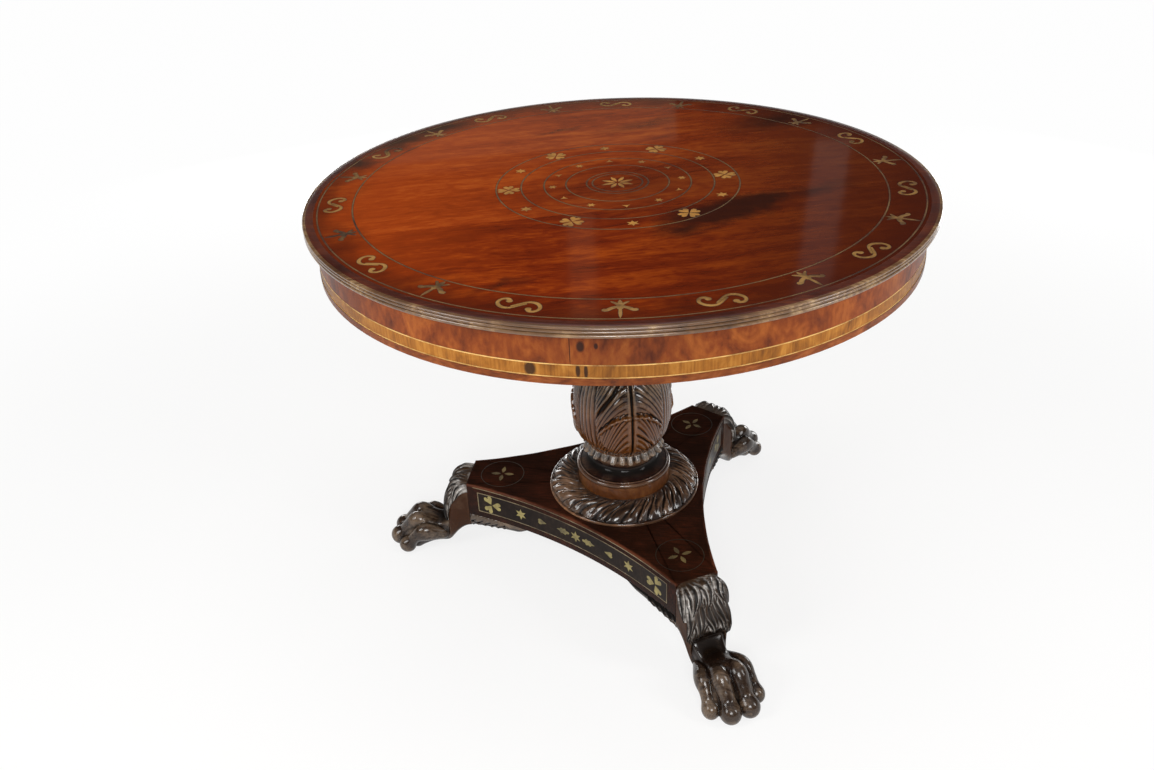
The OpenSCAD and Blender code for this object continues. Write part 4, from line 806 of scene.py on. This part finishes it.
# Top: two leaves of mahogany veneer on a deal board, with French polish.
# The joint runs in front of the centre; the front leaf is the redder and darker one.
seam_turn, seam_off, seam_gap, leaf_reach = math.radians(17.9), 111, 0.1, 463
leaf_sunk, leaf_under, leaf_gap = 0.09, 2.45, 0.05      # face and back below the brass, and gap at the edge
stains = [  # x, y, half length, half width in metres, strength
    (0.118, -0.179, 0.06, 0.04, 0.6), (0.135, -0.13, 0.09, 0.055, 0.9), (0.181, -0.097, 0.1, 0.055, 0.95),
    (0.217, -0.068, 0.07, 0.035, 0.8), (0.3, -0.02, 0.1, 0.03, 0.35), (-0.412, 0.204, 0.08, 0.045, 0.75),
    (-0.449, 0.07, 0.05, 0.03, 0.6), (-0.106, -0.374, 0.05, 0.018, 0.4), (0.02, 0.3, 0.12, 0.03, 0.3),
    (0.25, 0.33, 0.13, 0.06, 0.6), (-0.13, 0.26, 0.06, 0.012, 0.4), (0.03, -0.01, 0.22, 0.15, 0.3),
    (-0.36, 0.27, 0.09, 0.035, 0.7)]

def polished_leaf(name, dark, body, light, shift):
    """Quarter-cut mahogany, oiled and French polished: long soft streaks glow red brown under a clear
    film that mirrors the windows, and the edge and a few stains are nearly black"""
    made = new_finish(name)
    where = add(made, "TexCoord").outputs["Object"]
    bend = add(made, "TexNoise", {"Vector": where, "Scale": 3.0, "Detail": 1.0}).outputs["Color"]
    bend = add(made, "VectorMath", {0: bend, 1: (0.06, 0.06, 0.0)}, operation="MULTIPLY")
    bent = add(made, "VectorMath", {0: where, 1: bend}, operation="ADD")
    along = add(made, "Mapping", {"Vector": bent, "Rotation": (0, 0, -seam_turn), "Location": (shift, 0, 0)})
    # bands of colour 65 mm wide, streaks of 8 mm, mottle of 17 mm, and pores drawn 1.4 mm wide because
    # real ones are too fine to show
    broad, streak, mottle, pores = (
        add(made, "TexNoise", {"Vector": add(made, "Mapping", {"Vector": along, "Scale": scale}),
                               "Scale": 1.0, "Detail": detail, "Roughness": rough, "Distortion": warp})
        for scale, detail, rough, warp in (((2.6, 15, 1), 5.0, 0.6, 0.0), ((9, 130, 1), 5.0, 0.68, 0.0),
                                           ((26, 60, 1), 4.0, 0.6, 0.8), ((60, 700, 1), 2.0, 0.7, 0.0)))
    tone = broad
    for share, finer in ((0.4, streak), (0.3, mottle), (0.18, pores)):
        tone = add(made, "Mix", {0: share, 2: tone, 3: finer})
    colour = add(made, "ValToRGB", {"Fac": tone}, stops=[(0.38, dark), (0.5, body), (0.6, light)])
    across = add(made, "SeparateXYZ", {0: where}).outputs["X"]
    out = add(made, "VectorMath", {0: where, 1: (1, 1, 0)}, operation="MULTIPLY")
    out = add(made, "VectorMath", {0: out}, operation="LENGTH").outputs["Value"]
    blotch = add(made, "TexNoise", {"Vector": where, "Scale": 16.0, "Detail": 5.0, "Roughness": 0.6})
    out = add(made, "Math", {0: blotch, 1: 0.11, 2: out}, operation="MULTIPLY_ADD")
    # the left side is painted towards orange and the right side darker, partly as bleached and darkened wood
    # and partly as painted light and shade; polish and dirt have gathered in the border in blotches of 60
    # mm, most of all round the brass
    for value, start, end, least, most, tint in (
            (across, -0.35, -0.05, 0.3, 0.0, "#c05014"), (across, -0.06, 0.36, 0.0, 0.78, "#3c1607"),
            (out, 0.44, 0.52, 0.0, 0.72, "#401508")):
        share = add(made, "MapRange", {"Value": value, "From Min": start, "From Max": end,
                                       "To Min": least, "To Max": most}, interpolation_type="SMOOTHSTEP")
        colour = add(made, "Mix", {0: share, 6: colour, 7: tint}, data_type="RGBA").outputs[2]
    # stains drawn out at a slant, with edges ragged every 40 mm. The noise also shifts them by half of it
    ragged_by = 0.07
    ragged = add(made, "TexNoise", {"Vector": where, "Scale": 24.0, "Detail": 6.0, "Roughness": 0.65})
    ragged = add(made, "VectorMath", {0: ragged.outputs["Color"], 1: (ragged_by, ragged_by, 0.0)},
                 operation="MULTIPLY")
    ragged = add(made, "VectorMath", {0: where, 1: ragged}, operation="ADD")
    stained = None
    for x, y, long, wide, strength in stains:
        spot = oval_mark(made, ragged, (x + ragged_by / 2, y + ragged_by / 2, top_z / 1000), (long, wide),
                         1.9 * strength, math.radians(35))
        stained = spot if stained is None else add(made, "Math", {0: stained, 1: spot}, operation="MAXIMUM")
    stained = add(made, "Math", {0: stained, 1: 0.85}, operation="MULTIPLY")
    colour = add(made, "Mix", {0: stained, 6: colour, 7: "#27110a"}, data_type="RGBA").outputs[2]
    add(made, "OutputMaterial", {"Surface": add(made, "BsdfPrincipled", {
        "Base Color": colour, "Roughness": 0.5, "IOR": 1.5, "Specular IOR Level": 0.0,
        "Normal": add(made, "Bump", {"Height": pores, "Strength": 0.08, "Distance": 0.0001}),
        "Coat Weight": 0.75, "Coat Roughness": 0.085})})
    return made

def leaf_slab(near, far):
    """A sheet of veneer between two lines along the grain. It has sunk in faint waves over the board"""
    v = near + (far - near) * np.linspace(0, 1, 150)[:, None]
    half = np.sqrt(np.maximum(0, (edge_in - leaf_gap) ** 2 - v ** 2))
    u = half * np.sin(np.linspace(-1, 1, 220)[None, :] * math.pi / 2)
    wave = 0.03 * np.sin(v / 13 + 0.8 * np.sin(u / 150)) + 0.02 * np.sin(u / 41 + v / 60)
    x = u * math.cos(seam_turn) - v * math.sin(seam_turn)
    y = u * math.sin(seam_turn) + v * math.cos(seam_turn)
    upper = np.stack([x, y, top_z - leaf_sunk + wave], -1)
    lower = np.stack([x, y, top_z - leaf_under + 0 * u], -1)[:, ::-1]
    slab = skin(np.concatenate([upper, lower], 1))
    slab.set_sharp_from_angle(angle=0.6)
    return slab

new_piece("front_leaf", leaf_slab(-leaf_reach, -seam_off - seam_gap),
          polished_leaf("polished_front_leaf", "#4a1203", "#712406", "#98400d", 0.0), "top", "veneer_front")
new_piece("back_leaf", leaf_slab(leaf_reach, -seam_off + seam_gap),
          polished_leaf("polished_back_leaf", "#5f1c05", "#8a340c", "#aa5019", 3.0), "top", "veneer_back")

# the polish runs on over the flat of the edge moulding, where the wood is darker than the leaves
rim_in = edge_in - 0.02
radius, height = np.array([[rim_in, 738], [475.2, 738], [475.2, 739.75], [474.9, 739.93], [469, 739.94],
                           [rim_in, 739.93]]).T[:, None, :]
rim = skin(round_axis(radius, angle, height), ring=True)
rim.set_sharp_from_angle(angle=0.6)
rim_finish = dark_mahogany("polished_rim_mahogany", "#260c05", "#431608", "#6d3216", 0.45, shine=0.2)
new_piece("polished_rim", rim, rim_finish, "top")

# Brass of the top: sawn figures and drawn rings let into the veneer and polished with it.
# Dark glue and wax fill the sawn gap round every piece.
glue_sunk = 0.03

def glue_line(name, node, gap, finish):
    """A sheet a little wider than a brass piece and a hair lower"""
    work = bmesh.new()
    work.from_mesh(parts[node].data)
    bmesh.ops.remove_doubles(work, verts=work.verts, dist=1e-6)
    work.normal_update()
    moved = []
    for point in work.verts:
        way = sum((f.normal for f in point.link_faces if abs(f.normal.z) < 0.5), Vector())
        moved.append(way.normalized() * gap / 1000)
    for point, way in zip(work.verts, moved):
        point.co += way
        point.co.z -= glue_sunk / 1000
    mesh = bpy.data.meshes.new(name)
    work.to_mesh(mesh)
    work.free()
    new_piece(name, mesh, finish, "top")

# hide glue black with wax: a dark glossy hairline, browner in places 17 mm apart
dark_glue = new_finish("dark_glue_and_wax")
tone = add(dark_glue, "TexNoise", {"Scale": 60.0, "Detail": 4.0})
add(dark_glue, "OutputMaterial", {"Surface": add(dark_glue, "BsdfPrincipled", {
    "Base Color": add(dark_glue, "ValToRGB", {"Fac": tone}, stops=[(0.35, "#170a05"), (0.65, "#3a1a0c")]),
    "Roughness": 0.45, "Coat Weight": 0.6, "Coat Roughness": 0.12})})
# waxed with the top, the figures of the border are a mellow gold, and those in the middle, where
# most hands reach, a brighter one. The border's flowers are the dirtiest
top_brass = old_brass("waxed_brass", "#c2934e", "#8f682f", "#3f2612")
middle_brass = old_brass("bright_worn_brass", "#d79a45", "#ad7a36", "#7c5222")
fleur_brass = old_brass("dull_fleur_brass", "#b0854a", "#6b4c25", "#2e1c0d")
for name, finish in (("border_scrolls", top_brass), ("border_fleurs", fleur_brass),
                     ("medallion_rosettes", middle_brass), ("medallion_stars", middle_brass),
                     ("medallion_trefoils", middle_brass), ("centre_flower", middle_brass)):
    dress(finish, name)
    glue_line("glue_round_" + name, name, 0.7, dark_glue)
# thin rings that the polish covers: a brown gold that only shows as a line
ring_brass = old_brass("dull_ring_brass", "#8f7044", "#65482a", "#3a2214")
for name in ("border_lines", "medallion_lines"):
    dress(ring_brass, name)
    glue_line("glue_along_" + name, name, 0.55, dark_glue)
